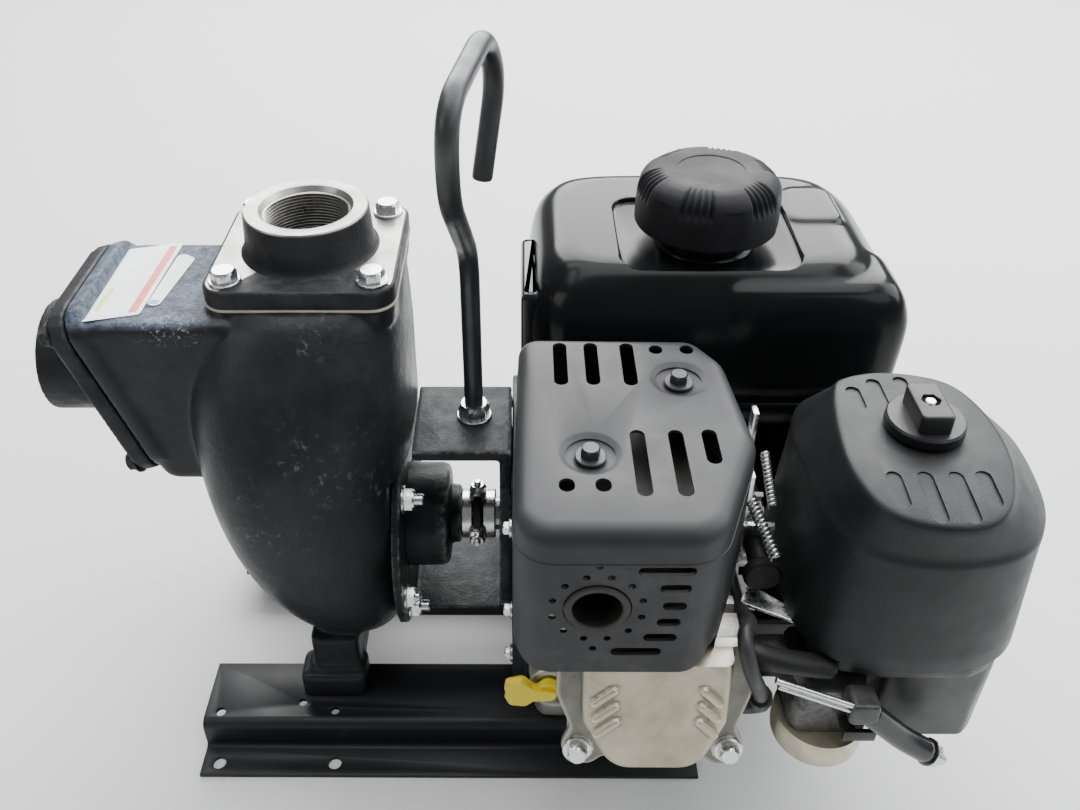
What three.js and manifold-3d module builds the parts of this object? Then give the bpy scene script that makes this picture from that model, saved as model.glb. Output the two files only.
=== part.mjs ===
// Portable engine-driven fire pump: a self-priming iron pump close-coupled to a small
// air-cooled petrol engine, both standing on two folded steel rails.
// Millimetres, +Z up. X runs from the suction end to the engine end, and -Y is the side with
// the exhaust and the air cleaner. While the parts are laid out, X = 0 is the suction end of
// the rails, Y = 0 is the shaft line and Z = 0 is the floor. The last lines of this file move
// the whole pump so that its origin is under the middle of it.
import * as THREE from "three";
import { mergeVertices } from "three/addons/utils/BufferGeometryUtils.js";
import Module from "manifold-3d";

const wasm = await Module();
wasm.setup();

// ---------------------------------------------------------------- driving dimensions
const GAP = 0.4; // clearance between two pieces that touch

const RAIL = { length: 354, sheet: 3, height: 28, plate: 52, flange: 24, front: -102, rear: 93 };
const SHAFT_Z = 137;
const SHAFT_R = 12;

const DISCHARGE = { x: 93, y: 34, top: 342.5, plate: 118, thick: 12, bolts: 90, boss: 28 };
const PORT = { outer: 39.5, bore: 26.5, chamfer: 29.6 }; // a 2 inch pipe thread port
const SUCTION = { x: -30, y: 20, z: 267, tilt: 17, width: 112, height: 130, thick: 11, end: -84 };

const CASING_FACE = 142; // machined face of the casing towards the engine
const ENGINE_FACE = 222; // end of the bracket at the engine
const BRACKET = { y0: -33, y1: 40, top: 224, arm: 8, post: 8, foot: 62 };
const HANDLE = { x: 196.3, y: 6, radius: 6.35 };

const ENGINE_X = 301.5; // centre of the cylinder
const CYLINDER_TILT = 15.5; // degrees above the horizontal
const BLOCK_TOP = 214; // top of the crankcase, which carries the tank's tray
const TANK = { floor: 232, seam: 247.6, wall: 2 };
const NECK = { top: 372, outer: 31, inner: 26 };
const GUARD = { bottom: 222, top: 322, sheet: 2 };
const CLEANER = { bottom: 214, top: 322, wall: 2.5, knob: [440, -124] };
const CAP = { x: 349, y: 52, radius: 46.5, bottom: 351, top: 388 };
const DIPSTICK = { x: 243, z: 88 };
const ROPE = { x: 436, z: 196, boss: 88 }; // where the starter rope comes out

// ---------------------------------------------------------------- materials
const paint = (color, roughness, metalness) =>
  new THREE.MeshStandardMaterial({ color, roughness, metalness });
const LOOKS = {
  rail: () => paint(0x1d1e20, 0.5, 0.3),
  iron: () => paint(0x1b1c1e, 0.55, 0.3),
  zinc: () => paint(0xb9bcbd, 0.35, 0.9),
  steel: () => paint(0x8d9092, 0.35, 0.95),
  rod: () => paint(0x4a4d50, 0.5, 0.6),
  aluminium: () => paint(0xa9a9a2, 0.5, 0.8),
  bronze: () => paint(0x9a7b4c, 0.45, 0.9),
  gasket: () => paint(0x9a8f78, 0.9, 0),
  shield: () => paint(0x3a3b3e, 0.55, 0.2),
  soot: () => paint(0x2b2826, 0.8, 0.4),
  tank: () => paint(0x0c0d0e, 0.2, 0.2),
  plastic: () => paint(0x1e1f21, 0.6, 0),
  rubber: () => paint(0x151515, 0.8, 0),
  yellow: () => paint(0xe6c81e, 0.5, 0),
  cream: () => paint(0xb9b49a, 0.5, 0.5),
  foam: () => paint(0x2a2a2a, 1, 0),
  white: () => paint(0xe8e6df, 0.6, 0),
};

// ---------------------------------------------------------------- solids
function solid(geometry) {
  const flat = geometry.clone();
  flat.deleteAttribute("normal");
  flat.deleteAttribute("uv");
  const merged = mergeVertices(flat, 1e-4);
  return new wasm.Manifold(new wasm.Mesh({
    numProp: 3,
    vertProperties: new Float32Array(merged.attributes.position.array),
    triVerts: new Uint32Array(merged.index.array),
  }));
}

function geometryOf(manifold) {
  const mesh = manifold.getMesh();
  const geometry = new THREE.BufferGeometry();
  geometry.setAttribute("position", new THREE.BufferAttribute(mesh.vertProperties, 3));
  geometry.setIndex(new THREE.BufferAttribute(mesh.triVerts, 1));
  geometry.computeVertexNormals();
  return geometry;
}

const box = (x0, x1, y0, y1, z0, z1) =>
  solid(new THREE.BoxGeometry(x1 - x0, y1 - y0, z1 - z0)
    .translate((x0 + x1) / 2, (y0 + y1) / 2, (z0 + z1) / 2));

// A straight cylinder of one radius, or a cone of two, between two heights of one axis.
function rod(axis, u, v, from, to, radius, sides = 16, endRadius = radius) {
  const geometry = new THREE.CylinderGeometry(endRadius, radius, to - from, sides);
  geometry.rotateX(Math.PI / 2).translate(0, 0, (from + to) / 2);
  if (axis === "x") {
    geometry.rotateY(Math.PI / 2).translate(0, u, v);
  }
  if (axis === "y") {
    geometry.rotateX(-Math.PI / 2).translate(u, 0, v);
  }
  if (axis === "z") {
    geometry.translate(u, v, 0);
  }
  return solid(geometry);
}

const tube = (axis, u, v, from, to, outer, inner, sides = 16) =>
  rod(axis, u, v, from, to, outer, sides).subtract(rod(axis, u, v, from - 1, to + 1, inner, sides));

// A hexagon nut or bolt head: the distance across its flats, and an optional bore.
function hexagon(axis, u, v, from, to, flats, bore = 0) {
  const nut = rod(axis, u, v, from, to, flats / Math.sqrt(3), 6);
  return bore ? nut.subtract(rod(axis, u, v, from - 1, to + 1, bore, 16)) : nut;
}

// A turned solid: the profile is a list of [radius, height] that starts at the top of the axis,
// comes down the outside and ends on the axis.
function turned(profile, sides = 28) {
  const points = profile.map(([r, h]) => new THREE.Vector2(r, h)).reverse();
  return solid(new THREE.LatheGeometry(points, sides).rotateX(Math.PI / 2));
}

// A rectangle with round corners, or any polygon with its corners rounded off.
function roundedShape(points, radius) {
  const shape = new THREE.Shape();
  const corner = points.map((p) => new THREE.Vector2(p[0], p[1]));
  const count = corner.length;
  for (let i = 0; i < count; i += 1) {
    const here = corner[i];
    const before = corner[(i + count - 1) % count];
    const after = corner[(i + 1) % count];
    const cut = Math.min(radius, here.distanceTo(before) / 2.1, here.distanceTo(after) / 2.1);
    const start = here.clone().add(before.clone().sub(here).setLength(cut));
    const end = here.clone().add(after.clone().sub(here).setLength(cut));
    if (i === 0) {
      shape.moveTo(start.x, start.y);
    } else {
      shape.lineTo(start.x, start.y);
    }
    shape.quadraticCurveTo(here.x, here.y, end.x, end.y);
  }
  shape.closePath();
  return shape;
}

const rectangle = (x0, x1, y0, y1) => [[x0, y0], [x1, y0], [x1, y1], [x0, y1]];

// A prism of an outline in the XY plane between two heights. A positive soften rounds the top.
function prism(points, radius, z0, z1, soften = 0, segments = 3) {
  const options = { depth: z1 - z0 - soften, bevelEnabled: false, curveSegments: segments };
  const body = new THREE.ExtrudeGeometry(roundedShape(points, radius), options).translate(0, 0, z0);
  if (!soften) {
    return solid(body);
  }
  const top = new THREE.ExtrudeGeometry(roundedShape(points, radius), {
    depth: 0.5, bevelEnabled: true, bevelThickness: soften - 0.25, bevelSize: soften,
    bevelOffset: -soften, bevelSegments: 2, curveSegments: segments,
  }).translate(0, 0, z1 - soften - 0.25);
  return solid(body).add(solid(top));
}

// A solid drawn through rings: each ring is [z, x0, x1, y0, y1], with rounded corners.
function loft(rings, power = 2.6, around = 24) {
  const positions = [];
  const index = [];
  for (const [z, x0, x1, y0, y1] of rings) {
    for (let i = 0; i < around; i += 1) {
      const angle = (2 * Math.PI * i) / around;
      const c = Math.cos(angle);
      const s = Math.sin(angle);
      const x = (x0 + x1) / 2 + ((x1 - x0) / 2) * Math.sign(c) * Math.abs(c) ** (2 / power);
      const y = (y0 + y1) / 2 + ((y1 - y0) / 2) * Math.sign(s) * Math.abs(s) ** (2 / power);
      positions.push(x, y, z);
    }
  }
  const last = rings.length - 1;
  for (const k of [0, last]) {
    const [z, x0, x1, y0, y1] = rings[k];
    positions.push((x0 + x1) / 2, (y0 + y1) / 2, z);
  }
  const bottomPoint = rings.length * around;
  for (let i = 0; i < around; i += 1) {
    const j = (i + 1) % around;
    for (let k = 0; k < last; k += 1) {
      const a = k * around;
      const b = a + around;
      index.push(a + i, a + j, b + j, a + i, b + j, b + i);
    }
    index.push(bottomPoint, j, i);
    index.push(bottomPoint + 1, last * around + i, last * around + j);
  }
  const geometry = new THREE.BufferGeometry();
  geometry.setAttribute("position", new THREE.Float32BufferAttribute(positions, 3));
  geometry.setIndex(index);
  return solid(geometry);
}

const shrink = (rings, wall) =>
  rings.map(([z, x0, x1, y0, y1]) => [z, x0 + wall, x1 - wall, y0 + wall, y1 - wall]);

// A round bar bent along a line of points whose corners are rounded.
function bentBar(points, radius, bend, steps = 40, sides = 12) {
  const corner = points.map((p) => new THREE.Vector3(...p));
  const path = new THREE.CurvePath();
  let from = corner[0];
  for (let i = 1; i < corner.length - 1; i += 1) {
    const cut = Math.min(bend, from.distanceTo(corner[i]) * 0.98,
      corner[i].distanceTo(corner[i + 1]) / 2.05);
    const start = corner[i].clone().add(from.clone().sub(corner[i]).setLength(cut));
    const end = corner[i].clone().add(corner[i + 1].clone().sub(corner[i]).setLength(cut));
    path.add(new THREE.LineCurve3(from, start));
    path.add(new THREE.QuadraticBezierCurve3(start, corner[i], end));
    from = end;
  }
  path.add(new THREE.LineCurve3(from, corner[corner.length - 1]));
  const section = new THREE.Shape();
  for (let i = 0; i < sides; i += 1) {
    const angle = (2 * Math.PI * i) / sides;
    const point = [radius * Math.cos(angle), radius * Math.sin(angle)];
    if (i === 0) {
      section.moveTo(...point);
    } else {
      section.lineTo(...point);
    }
  }
  section.closePath();
  return solid(new THREE.ExtrudeGeometry(section, { steps, extrudePath: path }));
}

// ---------------------------------------------------------------- assembly
const pump = new THREE.Group();

function place(name, shape, look, parent = pump) {
  const mesh = new THREE.Mesh(geometryOf(shape), LOOKS[look]());
  mesh.name = name;
  parent.add(mesh);
  return mesh;
}

// Rails: a floor flange, a riser and a top plate folded from one sheet.
function rail(side, holes) {
  const { length, sheet, height, plate, flange, front, rear } = RAIL;
  const fold = side < 0 ? front : rear;
  const inward = -side;
  const across = (d) => fold + inward * d;
  const outline = [
    [across(-flange), 0], [across(sheet), 0], [across(sheet), height - sheet],
    [across(plate), height - sheet], [across(plate), height], [across(0), height],
    [across(0), sheet], [across(-flange), sheet],
  ];
  const shape = new THREE.Shape(outline.map(([y, z]) => new THREE.Vector2(y, z)));
  const sheetMetal = new THREE.ExtrudeGeometry(shape, { depth: length, bevelEnabled: false })
    .rotateX(Math.PI / 2).rotateZ(Math.PI / 2);
  let body = solid(sheetMetal);
  for (const [x, inset, radius] of holes) {
    body = body.subtract(rod("z", x, across(inset), -1, height + 1, radius, 16));
  }
  return body;
}
const flangeHoles = [[12, -14.5, 4.75], [95, -14.5, 4.75]];
const plateHoles = [[11.3, 10, 3.5], [69.4, 18, 3], [94, 11, 3]];
place("front_rail", rail(-1, [...flangeHoles, ...plateHoles]), "rail");
place("rear_rail", rail(1, flangeHoles), "rail");

// Pump casing: the volute with its priming chamber, feet and the neck of the discharge.
const casingRings = [
  [46, 100, 132, -16, 30], [60, 84, 140, -42, 58], [84, 62, 148, -66, 86], [112, 44, 152, -80, 104],
  [146, 28, 154, -88, 114], [180, 18, 155, -90, 118], [215, 12, 155, -86, 118],
  [250, 10, 155, -76, 116], [280, 13, 155, -64, 111], [304, 20, 154, -50, 105],
  [321, 29, 153, -38, 99], [330, 37, 151, -26, 94],
];
const chamberOutline = [[-47, 324], [34, 324], [34, 198], [-11, 198]];
const tiltedSlab = (from, to, width, height, radius) => {
  const shape = roundedShape(rectangle(-width / 2, width / 2, -height / 2, height / 2), radius);
  const slab = new THREE.ExtrudeGeometry(shape, {
    depth: to - from, bevelEnabled: false, curveSegments: 4,
  });
  slab.translate(0, 0, from);
  slab.rotateX(Math.PI / 2).rotateZ(Math.PI / 2);
  slab.rotateY((-SUCTION.tilt * Math.PI) / 180);
  return solid(slab.translate(SUCTION.x, SUCTION.y, SUCTION.z));
};
function chamber(inset) {
  const outline = roundedShape(chamberOutline.map(([x, z]) => [x, z]), 12);
  const depth = SUCTION.width - 2 * inset - 6;
  const block = new THREE.ExtrudeGeometry(outline, { depth, bevelEnabled: false, curveSegments: 4 })
    .rotateX(Math.PI / 2).translate(0, SUCTION.y + depth / 2, 0);
  return solid(block);
}
const squarePlate = (half, radius, z0, z1) => {
  const { x, y } = DISCHARGE;
  return prism(rectangle(x - half, x + half, y - half, y + half), radius, z0, z1);
};
const halfPlate = DISCHARGE.plate / 2;
const plateBottom = DISCHARGE.top - DISCHARGE.thick;
const neckTop = plateBottom - 2.4;
let casing = loft(casingRings)
  .add(chamber(0))
  .add(tiltedSlab(-2, 9, SUCTION.width, SUCTION.height, 20))
  .add(squarePlate(halfPlate - 1, 14, 316, neckTop))
  .add(box(78, 112, -70, 76, 36, 80))
  .add(box(69, 116, -79, -53, RAIL.height + GAP, 50))
  .add(box(69, 116, 44, 76, RAIL.height + GAP, 50));
const casingHollow = loft(shrink(casingRings.slice(2, -1), 9))
  .add(solid(new THREE.BoxGeometry(92, 88, 100).translate(8, SUCTION.y, 264)))
  .subtract(tiltedSlab(-60, 9, 200, 260, 20));
casing = casing
  .subtract(casingHollow)
  .subtract(box(0, 240, -100, 200, neckTop, 400))
  .subtract(rod("z", DISCHARGE.x, DISCHARGE.y, 300, 400, PORT.bore, 28))
  .subtract(tiltedSlab(-10, 12, 76, 84, 24))
  .subtract(rod("x", 0, SHAFT_Z, 120, 160, 60, 32))
  .subtract(box(CASING_FACE, 240, -200, 200, 0, 214))
  .subtract(rod("x", 0, SHAFT_Z, CASING_FACE, 240, 79, 36));
place("pump_casing", casing, "iron");

// Discharge: a flange with a threaded boss, its gasket and four bolts.
const bore = (z0, z1, radius) => rod("z", DISCHARGE.x, DISCHARGE.y, z0, z1, radius, 36);
const bossTop = DISCHARGE.top + DISCHARGE.boss;
const boltHole = DISCHARGE.bolts / 2;
let flange = squarePlate(halfPlate, 15, plateBottom, DISCHARGE.top)
  .add(rod("z", DISCHARGE.x, DISCHARGE.y, DISCHARGE.top - 1, bossTop, PORT.outer + 1.5, 40, PORT.outer))
  .subtract(bore(300, 400, PORT.bore))
  .subtract(rod("z", DISCHARGE.x, DISCHARGE.y, bossTop - 3.2, bossTop + 0.2, PORT.bore, 36,
    PORT.chamfer));
let gasket = squarePlate(halfPlate - 1, 14, neckTop + GAP, plateBottom - GAP)
  .subtract(bore(300, 400, PORT.bore + 3));
let boltNumber = 0;
for (const dy of [-boltHole, boltHole]) {
  for (const dx of [-boltHole, boltHole]) {
    const x = DISCHARGE.x + dx;
    const y = DISCHARGE.y + dy;
    boltNumber += 1;
    flange = flange.subtract(rod("z", x, y, 300, 400, 5.6, 12));
    gasket = gasket.subtract(rod("z", x, y, 300, 400, 5.6, 12));
    const shank = rod("z", x, y, neckTop + GAP, DISCHARGE.top + 4, 4.8, 8);
    const washer = rod("z", x, y, DISCHARGE.top + GAP, DISCHARGE.top + 2.2, 10, 16);
    const head = hexagon("z", x, y, DISCHARGE.top + 2, DISCHARGE.top + 9, 14.3);
    place(`discharge_bolt_${boltNumber}`, shank.add(washer).add(head), "zinc");
  }
}
place("discharge_flange", flange, "iron");
place("discharge_gasket", gasket, "gasket");

// Suction: a slanted flange with a bored stub, and the flap that keeps the pump primed.
const suctionBore = (from, to, radius) =>
  rod("x", SUCTION.y, SUCTION.z, from, to, radius, 36);
const suctionFlange = tiltedSlab(-2 - GAP - SUCTION.thick, -2 - GAP, SUCTION.width, SUCTION.height, 22)
  .add(suctionBore(SUCTION.end, SUCTION.x - 8, 37.5)
    .subtract(tiltedSlab(-3, 60, 200, 260, 20)))
  .subtract(suctionBore(SUCTION.end - 1, SUCTION.x + 60, PORT.bore))
  .subtract(rod("x", SUCTION.y, SUCTION.z, SUCTION.end - 0.2, SUCTION.end + 3.2, PORT.chamfer, 36,
    PORT.bore));
place("suction_flange", suctionFlange, "iron");
const flapFrame = new THREE.Group();
flapFrame.position.set(SUCTION.x, SUCTION.y, SUCTION.z);
flapFrame.rotation.y = (-SUCTION.tilt * Math.PI) / 180;
pump.add(flapFrame);
const FLAP_HINGE_Z = 38;
place("suction_flap", rod("x", 0, 0, -1.6, 3.4, 32, 28)
  .add(box(-1.6, 3.4, -12, 12, 20, FLAP_HINGE_Z)), "rubber", flapFrame);

// Bearing housing: closes the casing behind the impeller and carries the shaft seal.
const housing = rod("x", 0, SHAFT_Z, 135, CASING_FACE, 59.4, 32)
  .add(rod("x", 0, SHAFT_Z, CASING_FACE - 1, 177, 37.5, 28))
  .add(rod("x", 0, SHAFT_Z, 176, 185, 21, 20))
  .subtract(rod("x", 0, SHAFT_Z, 130, 190, SHAFT_R + 0.6, 20));
place("bearing_housing", housing, "iron");

// Adapter bracket: an open iron frame between the pump and the engine.
const face = CASING_FACE + GAP;
const RING = 6;
const bracketEnd = (x0, x1, radius, hole) =>
  rod("x", 0, SHAFT_Z, x0, x1, radius, 32)
    .add(box(x0, x1, BRACKET.y0, BRACKET.y1, SHAFT_Z, BRACKET.top))
    .add(box(x0, x1, BRACKET.y0, BRACKET.y1, BRACKET.foot, SHAFT_Z))
    .subtract(rod("x", 0, SHAFT_Z, x0 - 1, x1 + 1, hole, 28));
const post0 = ENGINE_FACE - BRACKET.post;
const nutSeat = rod("z", HANDLE.x, HANDLE.y, 200, 240, HANDLE.radius + GAP, 16);
const bracket = bracketEnd(face, face + RING, 78, 38.4)
  .add(bracketEnd(post0, ENGINE_FACE, 66, 40))
  .add(box(face, ENGINE_FACE, BRACKET.y0, BRACKET.y1, BRACKET.top - BRACKET.arm, BRACKET.top))
  .add(box(face, ENGINE_FACE, BRACKET.y0, BRACKET.y1, BRACKET.foot, BRACKET.foot + 10))
  .subtract(nutSeat)
  .subtract(box(face - 1, 156, -200, 200, 213.5, 300));
place("adapter_bracket", bracket, "iron");

// Studs and nuts that hold the bracket to the casing, one on each side of the coupling.
const studRing = 66;
for (const [name, degrees] of [["upper", 128], ["lower", 222]]) {
  const angle = (degrees * Math.PI) / 180;
  const y = studRing * Math.cos(angle);
  const z = SHAFT_Z + studRing * Math.sin(angle);
  const nutFace = face + RING + GAP;
  place(`bracket_nut_${name}`, hexagon("x", y, z, nutFace, nutFace + 8, 14.3)
    .add(rod("x", y, z, nutFace + 7, nutFace + 14, 4.6, 12)), "zinc");
}

// Lifting handle: a bent bar held on the bracket by a nut.
const handleRoute = [
  [HANDLE.x, HANDLE.y, 204], [HANDLE.x, HANDLE.y, 352], [191, -68, 426], [192, -71, 476],
  [208, 14, 485], [214, 32, 456], [204.8, 22, 394],
];
place("lifting_handle", bentBar(handleRoute, HANDLE.radius, 24, 34, 10), "rod");
place("handle_nut", hexagon("z", HANDLE.x, HANDLE.y, BRACKET.top + GAP, BRACKET.top + 12, 19,
  HANDLE.radius + GAP), "zinc");

// ---------------------------------------------------------------- turning parts
const shaftLine = (from, to, radius, sides = 16) => rod("x", 0, SHAFT_Z, from, to, radius, sides);
let impeller = shaftLine(112, 118, 50, 36).add(shaftLine(104, 134, 18));
for (let i = 0; i < 4; i += 1) {
  const vane = new THREE.BoxGeometry(22, 5, 34).translate(103, 0, 30)
    .rotateX((i * Math.PI) / 2).translate(0, 0, SHAFT_Z);
  impeller = impeller.add(solid(vane));
}
impeller = impeller.subtract(shaftLine(92, 142, 9.4));
place("impeller", impeller, "bronze");
place("pump_shaft", shaftLine(98, 136, 9).add(shaftLine(135, 189, SHAFT_R)), "steel");
place("coupling_hub_pump", shaftLine(185.6, 193.6, 18).subtract(shaftLine(180, 196, SHAFT_R + 0.4)),
  "zinc");
place("coupling_hub_engine", shaftLine(200.8, 210, 18).subtract(shaftLine(198, 212, SHAFT_R + 0.4)),
  "zinc");
let disc = shaftLine(194, 200.4, 22, 28);
for (let i = 0; i < 4; i += 1) {
  const arm = new THREE.CylinderGeometry(4.6, 4.6, 12, 6).rotateX(Math.PI / 2)
    .translate(197.2, 0, 26).rotateX((i * Math.PI) / 2).translate(0, 0, SHAFT_Z);
  disc = disc.add(solid(arm));
}
disc = disc.subtract(shaftLine(190, 204, 6));
place("coupling_disc", disc, "zinc");
const crankPin = rod("x", 0, SHAFT_Z + 27, 288, 316, 14, 20);
const crankWeb = (x0, x1) => shaftLine(x0, x1, 18).add(rod("x", 0, SHAFT_Z + 14, x0, x1, 34, 28));
place("crankshaft", shaftLine(200.8, 284, SHAFT_R)
  .add(crankWeb(276, 290)).add(crankPin).add(crankWeb(314, 328))
  .add(shaftLine(322, 404, SHAFT_R)), "steel");
let flywheel = shaftLine(352, 372, 78, 32).add(shaftLine(350, 400, 22));
for (let i = 0; i < 10; i += 1) {
  const blade = new THREE.BoxGeometry(18, 3, 26).translate(380, 0, 62)
    .rotateX((i * Math.PI) / 5).translate(0, 0, SHAFT_Z);
  flywheel = flywheel.add(solid(blade));
}
flywheel = flywheel.subtract(shaftLine(340, 410, SHAFT_R + 0.4));
place("flywheel", flywheel, "aluminium");

// ---------------------------------------------------------------- engine block
const sideways = (outline, radius, x0, x1) =>
  solid(new THREE.ExtrudeGeometry(roundedShape(outline, radius), {
    depth: x1 - x0, bevelEnabled: false, curveSegments: 4,
  }).rotateX(Math.PI / 2).rotateZ(Math.PI / 2).translate(x0, 0, 0));
const blockOutline = rectangle(-82, 86, 36, BLOCK_TOP);
const coverStart = ENGINE_FACE + GAP;
const blockStart = coverStart + 11;
const crankcaseCover = sideways(blockOutline, 34, coverStart, blockStart - GAP)
  .subtract(shaftLine(220, 240, SHAFT_R + 0.6));
place("crankcase_cover", crankcaseCover, "iron");

const cylinderFrame = new THREE.Group();
cylinderFrame.position.set(ENGINE_X, 0, SHAFT_Z);
cylinderFrame.rotation.x = ((90 - CYLINDER_TILT) * Math.PI) / 180;
pump.add(cylinderFrame);
cylinderFrame.updateMatrixWorld();
const tilted = (shape) => {
  const geometry = geometryOf(shape).applyMatrix4(cylinderFrame.matrixWorld);
  return solid(geometry);
};
const underGuard = box(200, 400, -230, 20, GUARD.bottom - GAP, 330);
const crankcase = sideways(blockOutline, 34, blockStart, 334)
  .add(prism(rectangle(238, 334, -96, 96), 12, RAIL.height + GAP, 44))
  .add(rod("y", DIPSTICK.x + 4, DIPSTICK.z, -112, -80, 13, 16))
  .add(tilted(box(-44, 44, -44, 44, 60, 118)))
  .subtract(underGuard)
  .subtract(shaftLine(blockStart - 1, 330, 70, 36))
  .subtract(shaftLine(300, 340, SHAFT_R + 0.6))
  .subtract(tilted(rod("z", 0, 0, 40, 119, 34, 28)));
const dipstickHole = rod("y", DIPSTICK.x + 4, DIPSTICK.z, -120, -40, 6.5, 12);
place("crankcase", crankcase.subtract(dipstickHole), "aluminium");
place("oil_dipstick", rod("y", DIPSTICK.x + 4, DIPSTICK.z, -122, -112 - GAP, 11, 16)
  .add(rod("y", DIPSTICK.x + 4, DIPSTICK.z, -113, -72, 5.6, 10))
  .add(box(DIPSTICK.x - 24, DIPSTICK.x, -121.5, -116, DIPSTICK.z - 9, DIPSTICK.z + 12)), "yellow");
let head = box(-46, 46, -46, 46, 118.4, 196);
for (let i = 0; i < 5; i += 1) {
  const z = 126 + i * 12;
  head = head.subtract(box(36, 60, -60, 60, z, z + 6)).subtract(box(-60, -36, -60, 60, z, z + 6));
}
const plugHole = rod("x", -4, 170, 10, 60, 7.4, 16);
head = tilted(head.subtract(plugHole).subtract(rod("z", 0, 0, 118, 150, 34, 28)))
  .subtract(underGuard);
place("cylinder_head", head, "aluminium");

const ears = rectangle(-51, 51, -45, 45);
const COVER_BOLT = { x: 42, y: -36 };
let valveCover = prism(ears, 18, 196.4, 202).add(prism(rectangle(-43, 41, -42, 42), 14, 200, 215, 6))
  .subtract(prism(rectangle(-40, 38, -39, 39), 12, 195, 212));
for (const x of [-COVER_BOLT.x, COVER_BOLT.x]) {
  valveCover = valveCover.subtract(rod("z", x, COVER_BOLT.y, 190, 230, 9, 16))
    .add(tube("z", x, COVER_BOLT.y, 196.4, 202, 12, 3.6, 16));
}
place("valve_cover", tilted(valveCover).subtract(underGuard), "aluminium");
for (const [name, x] of [["left", -COVER_BOLT.x], ["right", COVER_BOLT.x]]) {
  const bolt = rod("z", x, COVER_BOLT.y, 197, 204, 3, 8)
    .add(rod("z", x, COVER_BOLT.y, 202.4, 204, 8, 16))
    .add(hexagon("z", x, COVER_BOLT.y, 203.5, 209, 10));
  place(`valve_cover_bolt_${name}`, tilted(bolt), "zinc");
}

// ---------------------------------------------------------------- exhaust
const guardOutline = [[227, -38], [331, -40], [346, -64], [352, -134], [325, -203], [224, -203]];
const inner = guardOutline.map(([x, y]) => [
  x + Math.sign(289 - x) * GUARD.sheet, y + Math.sign(-120 - y) * GUARD.sheet]);
let guard = prism(guardOutline, 16, GUARD.bottom, GUARD.top, 9)
  .subtract(prism(inner, 14, GUARD.bottom - 1, GUARD.top - GUARD.sheet, 8));
const slot = (x, y, length, width = 8) =>
  prism(rectangle(x - width / 2, x + width / 2, y - length / 2, y + length / 2), width / 2,
    GUARD.top - 12, GUARD.top + 2, 0, 2);
const topSlots = [
  [251, -66, 24], [269, -67, 24], [290, -68, 24], [307, -54, 8], [325, -54, 8],
  [291, -149, 34], [311, -149, 34], [331, -136, 20], [251, -169, 8], [269, -169, 8],
];
for (const [x, y, length] of topSlots) {
  guard = guard.subtract(slot(x, y, length));
}
const EXHAUST = { x: 266, z: 271, outer: 16.5, inner: 12.5 };
guard = guard.subtract(rod("y", EXHAUST.x, EXHAUST.z, -206, -198, EXHAUST.outer + 1, 28));
for (let i = 0; i < 6; i += 1) {
  const z = 300 - i * 11;
  guard = guard.subtract(box(287 + (i % 3) * 2, 309, -206, -198, z - 2.4, z + 2.4));
}
const GUARD_BOLTS = { rear: [317, -82], front: [264, -145] };
for (const [x, y] of Object.values(GUARD_BOLTS)) {
  guard = guard.subtract(rod("z", x, y, GUARD.top - 5, GUARD.top + 2, 3.6, 12));
}
place("muffler_guard", guard, "shield");
const muffler = prism(rectangle(242, 334, -180, -60), 22, 238, 302, 8)
  .add(rod("z", 300, -130, GUARD.bottom, 240, 13, 20))
  .subtract(rod("y", EXHAUST.x, EXHAUST.z, -185, -150, EXHAUST.inner, 24));
place("muffler_body", muffler, "soot");
place("exhaust_outlet", tube("y", EXHAUST.x, EXHAUST.z, -204.5, -180 - GAP, EXHAUST.outer,
  EXHAUST.inner, 28), "soot");
for (const [name, [x, y]] of Object.entries(GUARD_BOLTS)) {
  const bolt = rod("z", x, y, 303, 324, 3, 12)
    .add(rod("z", x, y, GUARD.top + GAP, GUARD.top + 2, 8, 18))
    .add(hexagon("z", x, y, GUARD.top + 1.8, GUARD.top + 7, 10));
  place(`guard_bolt_${name}`, bolt, "zinc");
}

// ---------------------------------------------------------------- fuel tank
const tankRings = [
  [246.4, 240, 468, -9, 150], [258, 235, 475, -14, 156], [294, 234, 476, -15, 157],
  [318, 237, 470, -10, 155], [332, 244, 456, 0, 150], [339, 254, 441, 11, 142],
  [341, 262, 432, 18, 136],
];
const tankTop = tankRings[tankRings.length - 1][0];
const tankShell = loft(tankRings, 6)
  .subtract(loft(shrink(tankRings, TANK.wall).slice(0, -1), 6))
  .subtract(rod("z", CAP.x, CAP.y, 320, 380, NECK.inner, 28))
  .subtract(box(200, 500, -50, 200, 240, TANK.seam + GAP));
place("fuel_tank", tankShell, "tank");
place("fuel_filler_neck", tube("z", CAP.x, CAP.y, tankTop + GAP, NECK.top, NECK.outer,
  NECK.inner, 28), "tank");
let tankBase = prism(rectangle(238, 470, -12, 153), 22, TANK.floor, TANK.seam)
  .subtract(prism(rectangle(241, 467, -9, 150), 20, TANK.floor + 3, TANK.seam + 3));
for (const [x, y] of [[262, 4], [318, 4], [262, 46], [318, 46]]) {
  tankBase = tankBase.add(box(x - 7, x + 7, y - 6, y + 6, BLOCK_TOP + GAP, TANK.floor + 1));
}
place("fuel_tank_base", tankBase, "tank");
place("fuel_cap_gasket", tube("z", CAP.x, CAP.y, NECK.top + GAP, NECK.top + 2.4, NECK.outer, 20,
  28), "rubber");
let cap = turned([[0, CAP.top - 1], [CAP.radius - 14, CAP.top], [CAP.radius - 5, CAP.top - 2],
  [CAP.radius, CAP.top - 9], [CAP.radius, CAP.bottom + 3], [CAP.radius - 2, CAP.bottom],
  [CAP.radius - 5, CAP.bottom], [CAP.radius - 5, CAP.top - 12], [0, CAP.top - 12]], 36)
  .translate([CAP.x, CAP.y, 0]);
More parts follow.
